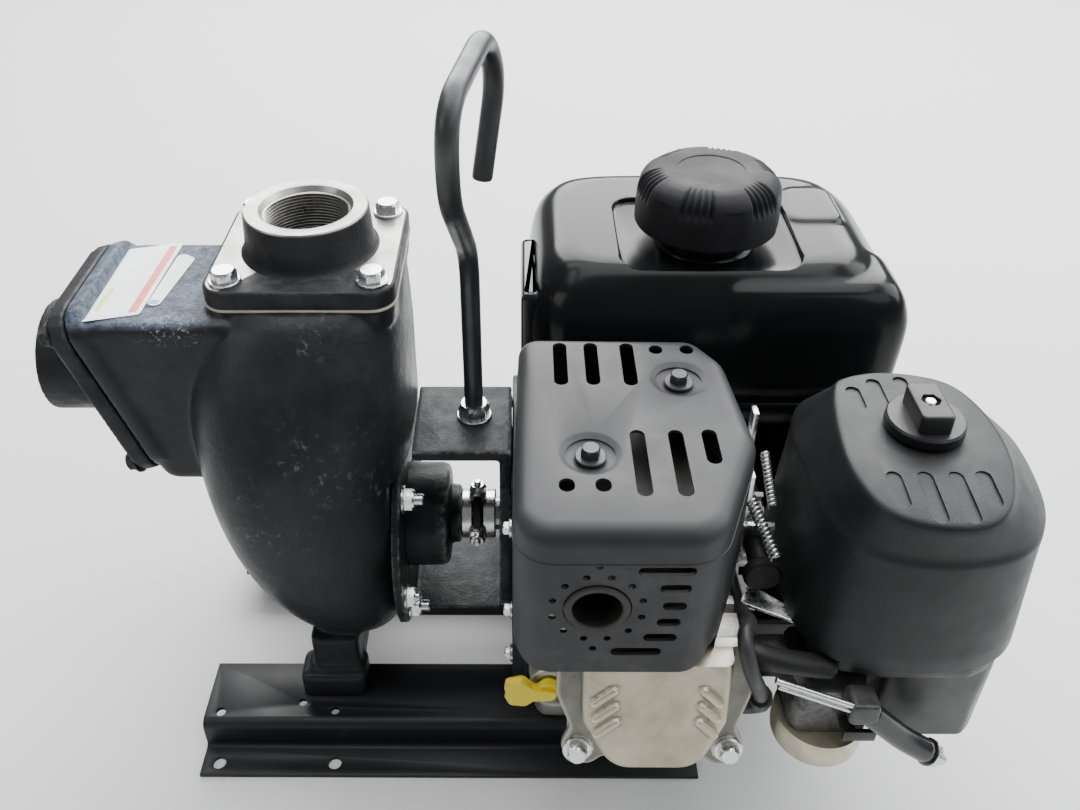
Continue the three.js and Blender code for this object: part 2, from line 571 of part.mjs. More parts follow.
for (let i = 0; i < 12; i += 1) {
  const angle = (i * Math.PI) / 6;
  cap = cap.subtract(rod("z", CAP.x + 48.4 * Math.cos(angle), CAP.y + 48.4 * Math.sin(angle),
    CAP.top - 14, CAP.top + 1, 3.4, 6));
}
place("fuel_cap", cap, "plastic");

// ---------------------------------------------------------------- air cleaner and carburettor
const coverRings = [
  [CLEANER.bottom, 377, 512, -197, -48], [285, 383, 507, -195, -52], [294, 386, 503, -193, -56],
  [316, 395, 486, -189, -69], [CLEANER.top, 402, 479, -182, -76],
];
const knobPlace = CLEANER.knob;
const [coverRim, ...coverDome] = shrink(coverRings.slice(0, -1), CLEANER.wall);
const cleanerCover = loft(coverRings, 3.4)
  .subtract(loft([[CLEANER.bottom - 1, ...coverRim.slice(1)], ...coverDome,
    [CLEANER.top - 3, 407, 474, -177, -81]], 3.4))
  .subtract(rod("z", ...knobPlace, 300, 330, 4.4, 12));
place("air_cleaner_cover", cleanerCover, "plastic");
const knob = rod("z", ...knobPlace, CLEANER.top + GAP, CLEANER.top + 4, 20, 28)
  .add(rod("z", ...knobPlace, CLEANER.top + 3, CLEANER.top + 8, 17, 28, 15))
  .add(box(knobPlace[0] - 10.5, knobPlace[0] + 10.5, knobPlace[1] - 18, knobPlace[1] + 18,
    CLEANER.top + 4, CLEANER.top + 20))
  .subtract(rod("z", ...knobPlace, 300, 340, 3.6, 12));
place("air_cleaner_knob", knob, "plastic");
place("air_cleaner_stud", rod("z", ...knobPlace, 208, CLEANER.top + 18, 3, 8), "zinc");
const cleanerBase = prism(rectangle(384, 508, -191, -52), 40, 202, 211)
  .add(prism(rectangle(429, 494, -185, -118), 14, 142, 204))
  .subtract(rod("z", ...knobPlace, 190, 220, 3.4, 8))
  .subtract(prism(rectangle(435, 488, -178, -124), 12, 152, 196))
  .subtract(rod("x", -158, 178, 425, 440, 10, 16))
  .subtract(rod("z", 470, -150, 180, 220, 10, 12));
place("air_cleaner_base", cleanerBase, "plastic");
place("air_filter_element", tube("z", 446, -122, 211.4, 298, 44, 28, 24), "foam");

const BOWL = { x: 401, y: -177, bottom: 132, top: 154 };
const carburettor = prism(rectangle(380, 420, -192, -146), 10, BOWL.top + GAP, 190)
  .add(rod("x", -158, 178, 348.4, 428, 12, 16))
  .subtract(rod("x", -158, 178, 340, 430, 8, 12));
place("carburettor_body", carburettor, "aluminium");
place("float_bowl", rod("z", BOWL.x, BOWL.y, BOWL.bottom, BOWL.bottom + 5, 22, 28, 26)
  .add(rod("z", BOWL.x, BOWL.y, BOWL.bottom + 5, BOWL.top, 26, 28))
  .add(hexagon("z", BOWL.x, BOWL.y, BOWL.bottom - 3, BOWL.bottom + 1, 11)), "cream");
place("choke_lever", rod("y", 410, 166, -203, -192.4, 4, 12)
  .add(box(406, 424, -203, -200.4, 162, 170)), "plastic");
place("fuel_valve_lever", rod("y", 400, 168, -146 + GAP, -134, 5, 12)
  .add(box(396, 404, -137, -134, 142, 169)), "plastic");

// ---------------------------------------------------------------- cooling and starting
const cleanerSpace = box(352, 560, -240, -40, 140, 330);
const blower = shaftLine(334 + GAP, 420, 104, 32)
  .subtract(shaftLine(338, 418, 100, 32))
  .subtract(shaftLine(330, 430, 60, 36))
  .subtract(cleanerSpace)
  .subtract(box(330, 349, -130, 0, 100, 300))
  .subtract(box(300, 480, -200, 200, 214, 400))
  .subtract(box(300, 480, -200, 200, 0, RAIL.height + 4));
place("blower_housing", blower, "plastic");
let recoil = turned([[0, 56], [40, 56], [72, 44], [90, 20], [90, 0], [86, 0], [86, 18], [69, 40],
  [38, 52], [0, 52]], 32).rotate([0, 90, 0]).translate([420.4, 0, SHAFT_Z]);
// The starter rope leaves through a boss at the rear, where its grip rests.
recoil = recoil.add(rod("y", ROPE.x, ROPE.z, 56, ROPE.boss, 9, 20))
  .subtract(rod("y", ROPE.x, ROPE.z, 40, ROPE.boss + 1, 5.6, 16))
  .subtract(cleanerSpace);
place("recoil_starter_housing", recoil, "plastic");
const gripStart = ROPE.boss + GAP;
place("starter_grip", rod("y", ROPE.x, ROPE.z, gripStart, gripStart + 14, 6, 16)
  .add(rod("x", gripStart + 16, ROPE.z, ROPE.x - 20, ROPE.x + 20, 9, 20))
  .add(box(ROPE.x - 12, ROPE.x + 12, gripStart + 2, gripStart + 16, ROPE.z - 6, ROPE.z + 6)),
  "rubber");

// ---------------------------------------------------------------- controls and leads
place("control_bracket", box(356, 359, -118, -46, 215.5, 280)
  .add(box(356, 374, -118, -46, 214.6, 218))
  .add(box(356, 374, -121, -118, 214.6, 246))
  .subtract(rod("y", 364, 231, -130, -104, 6.8, 14)), "zinc");
place("throttle_lever", rod("x", -80, 250, 359.4, 366, 6, 14)
  .add(box(362, 365, -84, -76, 250, 298)), "zinc");
place("stop_switch", rod("y", 364, 231, -147, -112, 6.2, 14), "plastic");

// The plug screws into the side of the head; its boot turns up to meet the lead.
const PLUG = { y: -30, z: 170 };
place("spark_plug", tilted(hexagon("x", PLUG.y, PLUG.z, 46.4, 54, 16)
  .add(rod("x", PLUG.y, PLUG.z, 53, 62, 4, 12))), "white");
const bootRoute = [[356, -172, 153.5], [368, -172, 153.5], [364, -181, 172]];
place("spark_plug_boot", bentBar(bootRoute, 7, 12, 14, 10)
  .subtract(tilted(rod("x", PLUG.y, PLUG.z, 40, 62.6, 4.6, 12)))
  .subtract(tilted(rod("x", PLUG.y, PLUG.z, 40, 54.4, 12, 12))), "rubber");
const leadRoute = [
  [363.8, -181.5, 172.6], [358, -196, 196], [348, -203, 222], [344, -192, 238], [353.5, -174, 226],
  [353, -150, 207], [352, -97, 206],
];
place("ignition_lead", bentBar(leadRoute, 3.5, 16, 26, 8), "rubber");
const breatherRoute = [
  [352, -170, 195], [364, -188, 200], [390, -202, 195], [424, -203, 188], [428, -192, 200.5],
];
place("breather_hose", bentBar(breatherRoute, 4.6, 12, 20, 8), "rubber");

// ---------------------------------------------------------------- origin
// The origin lies on the floor under the middle of the pump's outline.
const whole = new THREE.Box3().setFromObject(pump);
pump.position.set(-(whole.min.x + whole.max.x) / 2, -(whole.min.y + whole.max.y) / 2, 0);
pump.updateMatrixWorld(true);

export default pump;
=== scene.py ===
"""Looks of a portable engine-driven fire pump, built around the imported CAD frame.

Positions are written in the pump's own layout, in millimetres: X from the suction end of the
rails, Y from the shaft line (the exhaust side is -Y), Z from the floor. at() turns a layout
point into the frame's metres.
"""
import math

import bmesh
import bpy
from mathutils import Matrix, Vector


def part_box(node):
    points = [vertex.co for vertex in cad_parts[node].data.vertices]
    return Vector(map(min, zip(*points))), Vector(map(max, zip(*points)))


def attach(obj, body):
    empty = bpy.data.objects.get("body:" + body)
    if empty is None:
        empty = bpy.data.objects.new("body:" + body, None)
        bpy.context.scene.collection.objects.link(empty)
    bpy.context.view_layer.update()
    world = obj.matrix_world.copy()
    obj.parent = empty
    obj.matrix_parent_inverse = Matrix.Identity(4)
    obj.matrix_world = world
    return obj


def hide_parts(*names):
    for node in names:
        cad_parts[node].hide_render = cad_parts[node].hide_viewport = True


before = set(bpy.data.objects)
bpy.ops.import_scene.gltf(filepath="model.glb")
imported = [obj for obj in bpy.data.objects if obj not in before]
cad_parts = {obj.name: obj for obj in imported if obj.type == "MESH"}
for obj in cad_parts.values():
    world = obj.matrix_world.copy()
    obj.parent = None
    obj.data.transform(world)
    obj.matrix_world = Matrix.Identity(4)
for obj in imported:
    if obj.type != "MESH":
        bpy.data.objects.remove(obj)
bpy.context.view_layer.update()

MM = 0.001
RAIL_FRONT_EDGE = -126.0
SHAFT_Z = 137.0
rail_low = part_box("front_rail")[0]
ORIGIN = Vector((rail_low.x, rail_low.y - RAIL_FRONT_EDGE * MM, 0.0))


def at(x, y, z):
    return ORIGIN + Vector((x, y, z)) * MM


# ------------------------------------------------------------------ materials
def node_tree(name):
    material = bpy.data.materials.new(name)
    material.use_nodes = True
    tree = material.node_tree
    shader = tree.nodes["Principled BSDF"]
    place = tree.nodes.new("ShaderNodeTexCoord").outputs["Object"]
    return material, tree, shader, place


def noise(tree, place, scale, detail=4.0, rough=0.5):
    node = tree.nodes.new("ShaderNodeTexNoise")
    tree.links.new(place, node.inputs["Vector"])
    node.inputs["Scale"].default_value = scale
    node.inputs["Detail"].default_value = detail
    node.inputs["Roughness"].default_value = rough
    return node.outputs["Fac"]


def remap(tree, value, from_low, from_high, to_low, to_high):
    node = tree.nodes.new("ShaderNodeMapRange")
    tree.links.new(value, node.inputs["Value"])
    for key, number in (("From Min", from_low), ("From Max", from_high),
                        ("To Min", to_low), ("To Max", to_high)):
        node.inputs[key].default_value = number
    return node.outputs["Result"]


def mix_colour(tree, factor, first, second):
    node = tree.nodes.new("ShaderNodeMix")
    node.data_type = "RGBA"
    tree.links.new(factor, node.inputs["Factor"])
    for socket, colour in ((node.inputs["A"], first), (node.inputs["B"], second)):
        if isinstance(colour, tuple):
            socket.default_value = (*colour, 1.0)
        else:
            tree.links.new(colour, socket)
    return node.outputs["Result"]


def times(tree, first, second):
    node = tree.nodes.new("ShaderNodeMath")
    node.operation = "MULTIPLY"
    tree.links.new(first, node.inputs[0])
    tree.links.new(second, node.inputs[1])
    return node.outputs["Value"]


def add_bump(tree, shader, heights):
    """heights: (height socket, distance in metres, strength) from coarse to fine."""
    normal = None
    for height, distance, strength in heights:
        bump = tree.nodes.new("ShaderNodeBump")
        bump.inputs["Distance"].default_value = distance
        bump.inputs["Strength"].default_value = strength
        tree.links.new(height, bump.inputs["Height"])
        if normal is not None:
            tree.links.new(normal, bump.inputs["Normal"])
        normal = bump.outputs["Normal"]
    tree.links.new(normal, shader.inputs["Normal"])


def surface(name, colour, second, rough, metal=0.0, mottle=40.0, grain=900.0, depth=0.0002,
            strength=0.4, rough_spread=0.08, coat=0.0, edge=None, edge_amount=0.6, lumps=0.0,
            specular=0.5):
    """A painted, moulded or bare surface: mottled colour, uneven roughness and a fine grain.

    edge is the colour that shows where corners are rubbed; lumps is the depth of casting waves.
    """
    material, tree, shader, place = node_tree(name)
    patches = noise(tree, place, mottle, 5.0, 0.6)
    fine = noise(tree, place, grain, 3.0, 0.6)
    base = mix_colour(tree, remap(tree, patches, 0.35, 0.65, 0.0, 1.0), colour, second)
    if edge is not None:
        geometry = tree.nodes.new("ShaderNodeNewGeometry")
        corner = remap(tree, geometry.outputs["Pointiness"], 0.52, 0.60, 0.0, edge_amount)
        scuff = remap(tree, noise(tree, place, mottle * 4.0, 6.0, 0.7), 0.42, 0.62, 0.0, 1.0)
        base = mix_colour(tree, times(tree, corner, scuff), base, edge)
    tree.links.new(base, shader.inputs["Base Color"])
    uneven = noise(tree, place, mottle * 2.3, 4.0, 0.65)
    gloss = remap(tree, uneven, 0.3, 0.7, rough - rough_spread, rough + rough_spread)
    tree.links.new(gloss, shader.inputs["Roughness"])
    shader.inputs["Metallic"].default_value = metal
    shader.inputs["Specular IOR Level"].default_value = specular
    shader.inputs["Coat Weight"].default_value = coat
    shader.inputs["Coat Roughness"].default_value = 0.08
    heights = [(fine, depth, strength)]
    if lumps:
        heights.insert(0, (noise(tree, place, 70.0, 4.0, 0.5), lumps, 0.5))
    add_bump(tree, shader, heights)
    return material


def pebbled(name, colour, second, rough, cell=1400.0, depth=0.00016, strength=0.5,
            specular=0.5):
    """Moulded plastic with a fine pebble grain."""
    material, tree, shader, place = node_tree(name)
    pebbles = tree.nodes.new("ShaderNodeTexVoronoi")
    tree.links.new(place, pebbles.inputs["Vector"])
    pebbles.inputs["Scale"].default_value = cell
    patches = noise(tree, place, 22.0, 4.0, 0.6)
    base = mix_colour(tree, remap(tree, patches, 0.35, 0.65, 0.0, 1.0), colour, second)
    tree.links.new(base, shader.inputs["Base Color"])
    gloss = remap(tree, noise(tree, place, 60.0, 4.0, 0.6), 0.3, 0.7, rough - 0.06, rough + 0.06)
    tree.links.new(gloss, shader.inputs["Roughness"])
    shader.inputs["Specular IOR Level"].default_value = specular
    waves = noise(tree, place, 260.0, 2.0, 0.5)
    add_bump(tree, shader, [(waves, 0.0002, 0.12), (pebbles.outputs["Distance"], depth, strength)])
    return material


MAT = {
    "rail": surface("rail_powder_coat", (0.0085, 0.009, 0.0105), (0.0105, 0.011, 0.0125), 0.46,
                    mottle=9, grain=1500, depth=0.00012, strength=0.35, specular=0.25),
    "iron": surface("painted_cast_iron", (0.0095, 0.010, 0.0115), (0.020, 0.021, 0.023), 0.52,
                    mottle=24, grain=650, depth=0.0005, strength=0.55, rough_spread=0.14,
                    edge=(0.16, 0.16, 0.16), edge_amount=0.5, lumps=0.0016, specular=0.16),
    "machined": surface("machined_iron", (0.20, 0.20, 0.195), (0.36, 0.35, 0.34), 0.34, metal=0.9,
                        mottle=30, grain=1600, depth=0.00008, strength=0.35),
    "bracket": surface("bracket_paint", (0.010, 0.0105, 0.012), (0.022, 0.023, 0.026), 0.42,
                       mottle=36, grain=520, depth=0.0006, strength=0.6, rough_spread=0.12,
                       edge=(0.42, 0.42, 0.41), edge_amount=0.8, lumps=0.0015, specular=0.14),
    "zinc": surface("zinc_plate", (0.60, 0.61, 0.62), (0.70, 0.70, 0.69), 0.28, metal=1.0,
                    mottle=180, grain=1200, depth=0.00008, strength=0.3),
    "yellow_zinc": surface("yellow_passivated", (0.42, 0.40, 0.31), (0.58, 0.54, 0.40), 0.36,
                           metal=0.85, mottle=90, grain=900, depth=0.0001, strength=0.3),
    "steel": surface("turned_steel", (0.30, 0.30, 0.30), (0.46, 0.46, 0.45), 0.30, metal=1.0,
                     mottle=60, grain=1400, depth=0.00008, strength=0.3),
    "rod": surface("dark_steel_rod", (0.030, 0.033, 0.034), (0.044, 0.048, 0.049), 0.40, metal=0.5,
                   mottle=30, grain=800, depth=0.00018, strength=0.45, rough_spread=0.10),
    "aluminium": surface("cast_aluminium", (0.36, 0.36, 0.33), (0.50, 0.49, 0.45), 0.42, metal=0.85,
                         mottle=45, grain=500, depth=0.0004, strength=0.55, rough_spread=0.1),
    "dark_alloy": surface("dark_alloy", (0.045, 0.046, 0.046), (0.10, 0.10, 0.098), 0.42,
                          metal=0.6, mottle=60, grain=600, depth=0.0003, strength=0.5,
                          edge=(0.30, 0.30, 0.29), edge_amount=0.6),
    "bronze": surface("cast_bronze", (0.30, 0.21, 0.10), (0.44, 0.31, 0.15), 0.40, metal=0.9),
    "cover_paint": surface("side_cover_paint", (0.010, 0.0105, 0.012), (0.018, 0.019, 0.021),
                           0.42, mottle=30, grain=600, depth=0.0004, strength=0.5,
                           specular=0.25, lumps=0.001),
    "gasket": surface("fibre_gasket", (0.26, 0.24, 0.20), (0.38, 0.35, 0.29), 0.85, grain=1500),
    "shield": surface("shield_paint", (0.017, 0.0172, 0.019), (0.021, 0.0212, 0.023), 0.48,
                      mottle=10, grain=2200, depth=0.00012, strength=0.45, rough_spread=0.04,
                      edge=(0.10, 0.10, 0.10), edge_amount=0.3, specular=0.30),
    "soot": surface("heated_steel", (0.009, 0.0085, 0.008), (0.020, 0.0175, 0.016), 0.55, metal=0.2,
                    mottle=50, grain=700, depth=0.0003, strength=0.5),
    "tank": surface("tank_gloss", (0.0045, 0.0048, 0.0055), (0.0065, 0.0068, 0.0075), 0.20,
                    mottle=9, grain=260, depth=0.00006, strength=0.08, rough_spread=0.04,
                    specular=0.14),
    "pebble": pebbled("pebbled_plastic", (0.0075, 0.008, 0.009), (0.0105, 0.011, 0.012), 0.47,
                      specular=0.28),
    "plastic": surface("black_plastic", (0.010, 0.010, 0.011), (0.015, 0.015, 0.016), 0.40,
                       mottle=20, grain=1800, depth=0.00008, strength=0.3, specular=0.35),
    "cap": surface("cap_plastic", (0.0095, 0.0095, 0.0105), (0.014, 0.014, 0.0155), 0.56,
                   mottle=20, grain=1600, depth=0.0001, strength=0.35, specular=0.14),
    "gloss": surface("gloss_black_plastic", (0.006, 0.006, 0.007), (0.009, 0.009, 0.010), 0.18,
                     mottle=20, grain=600, depth=0.00003, strength=0.15),
    "rubber": surface("black_rubber", (0.009, 0.009, 0.009), (0.015, 0.015, 0.015), 0.52,
                      mottle=70, grain=1300, depth=0.00012, strength=0.4, specular=0.35),
    "yellow": surface("yellow_plastic", (0.75, 0.56, 0.015), (0.83, 0.66, 0.03), 0.35,
                      mottle=50, grain=900, depth=0.0001, strength=0.25),
    "foam": surface("filter_foam", (0.02, 0.02, 0.02), (0.05, 0.05, 0.05), 0.95, grain=500,
                    depth=0.001, strength=1.0),
    "ceramic": surface("spark_ceramic", (0.70, 0.69, 0.65), (0.80, 0.79, 0.75), 0.20, coat=0.4),
    "grey_rubber": surface("grey_rubber", (0.016, 0.016, 0.017), (0.026, 0.026, 0.027), 0.50,
                           mottle=60, grain=1100, depth=0.00012, strength=0.4),
    "paper": surface("label_white", (0.62, 0.63, 0.64), (0.74, 0.75, 0.76), 0.35, mottle=60,
                     grain=1500, depth=0.00005, strength=0.2),
    "red": surface("label_red", (0.55, 0.02, 0.02), (0.65, 0.035, 0.03), 0.35, mottle=60),
    "blue": surface("label_blue", (0.03, 0.16, 0.42), (0.05, 0.22, 0.50), 0.35, mottle=60),
    "lime": surface("label_green", (0.42, 0.58, 0.08), (0.50, 0.66, 0.12), 0.35, mottle=60),
}


# ------------------------------------------------------------------ mesh helpers
def make(name, vertices, faces):
    mesh = bpy.data.meshes.new(name)
    mesh.from_pydata([tuple(v) for v in vertices], [], faces)
    mesh.update()
    obj = bpy.data.objects.new(name, mesh)
    bpy.context.scene.collection.objects.link(obj)
    return obj


def apply_modifiers(obj):
    graph = bpy.context.evaluated_depsgraph_get()
    mesh = bpy.data.meshes.new_from_object(obj.evaluated_get(graph))
    old = obj.data
    obj.modifiers.clear()
    obj.data = mesh
    mesh.name = obj.name
    bpy.data.meshes.remove(old)
    return obj


def smooth(obj, degrees=35.0):
    obj.data.shade_smooth()
    obj.data.set_sharp_from_angle(angle=math.radians(degrees))
    return obj


def bevel(obj, width, segments=3, degrees=40.0):
    modifier = obj.modifiers.new("bevel", "BEVEL")
    modifier.width = width * MM
    modifier.segments = segments
    modifier.limit_method = "ANGLE"
    modifier.angle_limit = math.radians(degrees)
    return apply_modifiers(obj)


def boolean(obj, cutter, operation="DIFFERENCE"):
    """Cuts obj with another mesh, which is used up."""
    modifier = obj.modifiers.new("cut", "BOOLEAN")
    modifier.operation = operation
    modifier.solver = "EXACT"
    modifier.object = cutter
    apply_modifiers(obj)
    bpy.data.objects.remove(cutter)
    return obj


def join(name, parts):
    """One new mesh of several, which are used up."""
    vertices = []
    faces = []
    for part in parts:
        start = len(vertices)
        vertices += [part.matrix_world @ v.co for v in part.data.vertices]
        faces += [[start + i for i in polygon.vertices] for polygon in part.data.polygons]
        bpy.data.objects.remove(part)
    return make(name, vertices, faces)


def cast(obj, voxel, rounds=6):
    """Melts the overlapping shells of obj into one skin with the soft corners of a casting."""
    remesh = obj.modifiers.new("skin", "REMESH")
    remesh.mode = "VOXEL"
    remesh.voxel_size = voxel * MM
    ease = obj.modifiers.new("ease", "SMOOTH")
    ease.factor = 0.5
    ease.iterations = rounds
    return apply_modifiers(obj)


def loft(name, rings, capped=True):
    """A skin through closed rings of the same number of points."""
    count = len(rings[0])
    vertices = [point for ring in rings for point in ring]
    faces = []
    for k in range(len(rings) - 1):
        for i in range(count):
            j = (i + 1) % count
            faces.append((k * count + i, k * count + j, (k + 1) * count + j, (k + 1) * count + i))
    if capped:
        faces.append(tuple(reversed(range(count))))
        faces.append(tuple(range((len(rings) - 1) * count, len(rings) * count)))
    return make(name, vertices, faces)


def superellipse(z, x0, x1, y0, y1, power, around):
    ring = []
    for i in range(around):
        angle = 2 * math.pi * i / around
        c, s = math.cos(angle), math.sin(angle)
        x = (x0 + x1) / 2 + (x1 - x0) / 2 * math.copysign(abs(c) ** (2 / power), c)
        y = (y0 + y1) / 2 + (y1 - y0) / 2 * math.copysign(abs(s) ** (2 / power), s)
        ring.append(at(x, y, z))
    return ring


def soften(rings, steps):
    """Adds in-between rings on a smooth curve through the given ones."""
    full = [rings[0]] + rings + [rings[-1]]
    result = []
    for k in range(1, len(full) - 2):
        p0, p1, p2, p3 = full[k - 1:k + 3]
        for step in range(steps):
            t = step / steps
            row = [0.5 * (2 * b + (c - a) * t + (2 * a - 5 * b + 4 * c - d) * t * t
                          + (3 * b - a - 3 * c + d) * t ** 3)
                   for a, b, c, d in zip(p0, p1, p2, p3)]
            result.append(row)
    result.append(list(rings[-1]))
    return result


def outline(points, radius, segments=8):
    """A polygon with round corners: one radius for all of them, or one for each."""
    result = []
    count = len(points)
    radii = radius if isinstance(radius, (list, tuple)) else [radius] * count
    for i in range(count):
        here = Vector(points[i])
        before = Vector(points[i - 1]) - here
        after = Vector(points[(i + 1) % count]) - here
        half = before.angle(after) / 2
        cut = min(radii[i] / math.tan(half), before.length / 2.05, after.length / 2.05)
        size = cut * math.tan(half)
        middle = here + (before.normalized() + after.normalized()).normalized() * size / math.sin(half)
        start = here + before.normalized() * cut - middle
        end = here + after.normalized() * cut - middle
        turn = math.pi - 2 * half
        for k in range(segments + 1):
            t = k / segments
            result.append(middle + (start * math.sin((1 - t) * turn) + end * math.sin(t * turn))
                          / math.sin(turn))
    return result


def inset(points, distance):
    """Moves an anticlockwise outline inwards."""
    result = []
    count = len(points)
    for i in range(count):
        along = (points[(i + 1) % count] - points[i - 1]).normalized()
        result.append(points[i] + Vector((-along.y, along.x)) * distance)
    return result


def rectangle(x0, x1, y0, y1):
    return [(x0, y0), (x1, y0), (x1, y1), (x0, y1)]


def round_ended(x0, y0, x1, y1, width, steps=12):
    """The outline of a bar with round ends, from one end's middle to the other's."""
    start, end = Vector((x0, y0)), Vector((x1, y1))
    along = (end - start).normalized()
    side = Vector((-along.y, along.x))
    points = []
    for middle, first in ((end, -math.pi / 2), (start, math.pi / 2)):
        for k in range(steps + 1):
            a = first + math.pi * k / steps
            points.append(middle + (along * math.cos(a) + side * math.sin(a)) * width / 2)
    return points


def quarter_turn(steps):
    """Sine and cosine at equal steps from 0 to 90 degrees."""
    angles = [math.pi / 2 * k / steps for k in range(steps + 1)]
    return [(math.sin(angle), math.cos(angle)) for angle in angles]


def prism(name, points, z0, z1, top=0.0, bottom=0.0, steps=5, shape=None):
    """A prism of an outline; top and bottom are the radii of its rounded edges."""
    shape = shape or at
    rows = [(z0, 0.0)]
    if bottom:
        rows = [(z0 + bottom * (1 - c), bottom * (1 - s)) for s, c in quarter_turn(steps)]
    if top:
        rows += [(z1 - top * (1 - s), top * (1 - c)) for s, c in quarter_turn(steps)]
    else:
        rows.append((z1, 0.0))
    rings = [[shape(p.x, p.y, z) for p in inset(points, d)] for z, d in rows]
    return loft(name, rings)


AXES = {"x": (Vector((0, 1, 0)), Vector((0, 0, 1)), Vector((1, 0, 0))),
        "y": (Vector((0, 0, 1)), Vector((1, 0, 0)), Vector((0, 1, 0))),
        "z": (Vector((1, 0, 0)), Vector((0, 1, 0)), Vector((0, 0, 1)))}


def lathe(name, profile, centre, axis="z", around=64):
    """Turns a closed profile of (radius, height) in mm about an axis through centre.

    axis is a letter or a direction; a profile may start and end on the axis.
    """
    if isinstance(axis, str):
        u, v, w = AXES[axis]
    else:
        w = Vector(axis).normalized()
        u = w.orthogonal().normalized()
        v = w.cross(u)
    vertices = []
    rows = []
    for r, h in profile:
        if r < 1e-6:
            rows.append([len(vertices)] * around)
            vertices.append(centre + w * h * MM)
            continue
        rows.append(list(range(len(vertices), len(vertices) + around)))
        for i in range(around):
            angle = 2 * math.pi * i / around
            vertices.append(centre + (u * math.cos(angle) + v * math.sin(angle)) * r * MM
                            + w * h * MM)
    faces = []
    closed = profile[0][0] > 1e-6
    pairs = list(zip(rows, rows[1:])) + ([(rows[-1], rows[0])] if closed else [])
    for low, high in pairs:
        for i in range(around):
            j = (i + 1) % around
            corners = []
            for index in (low[i], low[j], high[j], high[i]):
                if index not in corners:
                    corners.append(index)
            if len(corners) > 2:
                faces.append(corners)
    return make(name, vertices, faces)


def rounded_route(points, bend, step=4.0):
    """Points along straight runs with round corners, every few millimetres."""
    corners = [Vector(p) for p in points]
    route = [corners[0]]
    start = corners[0]
    for i in range(1, len(corners) - 1):
        here = corners[i]
        before, after = start - here, corners[i + 1] - here
        cut = min(bend, before.length * 0.98, after.length / 2.05)
        a, b = here + before.normalized() * cut, here + after.normalized() * cut
        for k in range(9):
            t = k / 8
            route.append(a * (1 - t) ** 2 + here * 2 * t * (1 - t) + b * t * t)
        start = b
    route.append(corners[-1])
    dense = [route[0]]
    for point in route[1:]:
        gap = point - dense[-1]
        pieces = max(1, int(gap.length / step))
        first = dense[-1]
        dense += [first + gap * (k + 1) / pieces for k in range(pieces)]
    return dense


def tube(name, route, radius, around=20, ends=0.35):
    """A round bar or hose along layout points; ends is how much its end edges are rounded."""
    points = [at(*p) for p in route]
    side = (points[1] - points[0]).normalized().orthogonal().normalized()
    stations = []
    for i, point in enumerate(points):
        ahead = points[min(i + 1, len(points) - 1)] - points[max(i - 1, 0)]
        ahead.normalize()
        side = (side - ahead * side.dot(ahead)).normalized()
        stations.append((point, side.copy(), ahead.cross(side), ahead))

    def ring(station, scale, shift):
        point, side, up, ahead = station
        return [point + ahead * shift * MM + (side * math.cos(2 * math.pi * k / around)
                + up * math.sin(2 * math.pi * k / around)) * radius * scale * MM
                for k in range(around)]

    lip = radius * ends
    edge = ((1 - ends, 0.0), (1 - ends * 0.3, lip * 0.3), (1.0, lip))
    rows = [ring(stations[0], scale, shift) for scale, shift in edge]
    rows += [ring(station, 1.0, 0.0) for station in stations[1:-1]]
    rows += [ring(stations[-1], scale, -shift) for scale, shift in reversed(edge)]
    return smooth(loft(name, rows), 50)


def box(name, x0, x1, y0, y1, z0, z1):
    return prism(name, [Vector(p) for p in rectangle(x0, x1, y0, y1)], z0, z1)


def cad_copy(name, *nodes):
    """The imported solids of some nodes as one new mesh, welded and with flat faces merged."""
    parts = []
    for node in nodes:
        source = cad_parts[node].data
        parts.append(make(name, [v.co for v in source.vertices],
                          [list(p.vertices) for p in source.polygons]))
    obj = join(name, parts)
    work = bmesh.new()
    work.from_mesh(obj.data)
    bmesh.ops.remove_doubles(work, verts=work.verts, dist=1e-5)
    bmesh.ops.dissolve_limit(work, angle_limit=math.radians(1.0), verts=work.verts,
                             edges=work.edges)
    work.to_mesh(obj.data)
    work.free()
    return obj


def piece(obj, look, body="frame", stands_for=(), extra=()):
    """Gives a finished mesh its material and its body, and hides the CAD nodes it stands for."""
    obj.data.materials.clear()
    for key in (look, *extra):
        obj.data.materials.append(MAT[key])
    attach(obj, body)
    if stands_for:
        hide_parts(*stands_for)
    return obj


def rounded_copy(name, node, look, width, segments=3, degrees=40, body="frame"):
    """A finished piece: a node's solid with its edges rounded."""
    obj = bevel(cad_copy(name, node), width, segments)
    return piece(smooth(obj, degrees), look, body, [node])


def cast_copy(name, node, look, voxel, rounds=5):
    """A finished piece: a node's solid with the soft skin of a casting."""
    obj = cast(cad_copy(name, node), voxel, rounds)
    return piece(smooth(obj, 60), look, stands_for=[node])


def outward(obj):
    """Turns every face of a closed mesh outwards."""
    work = bmesh.new()
    work.from_mesh(obj.data)
    bmesh.ops.recalc_face_normals(work, faces=work.faces)
    work.to_mesh(obj.data)
    work.free()
    return obj


def repaint(obj, slot_index, test):
    """Gives another of its materials to the faces whose centre passes a test."""
    for polygon in obj.data.polygons:
        if test(polygon.center):
            polygon.material_index = slot_index


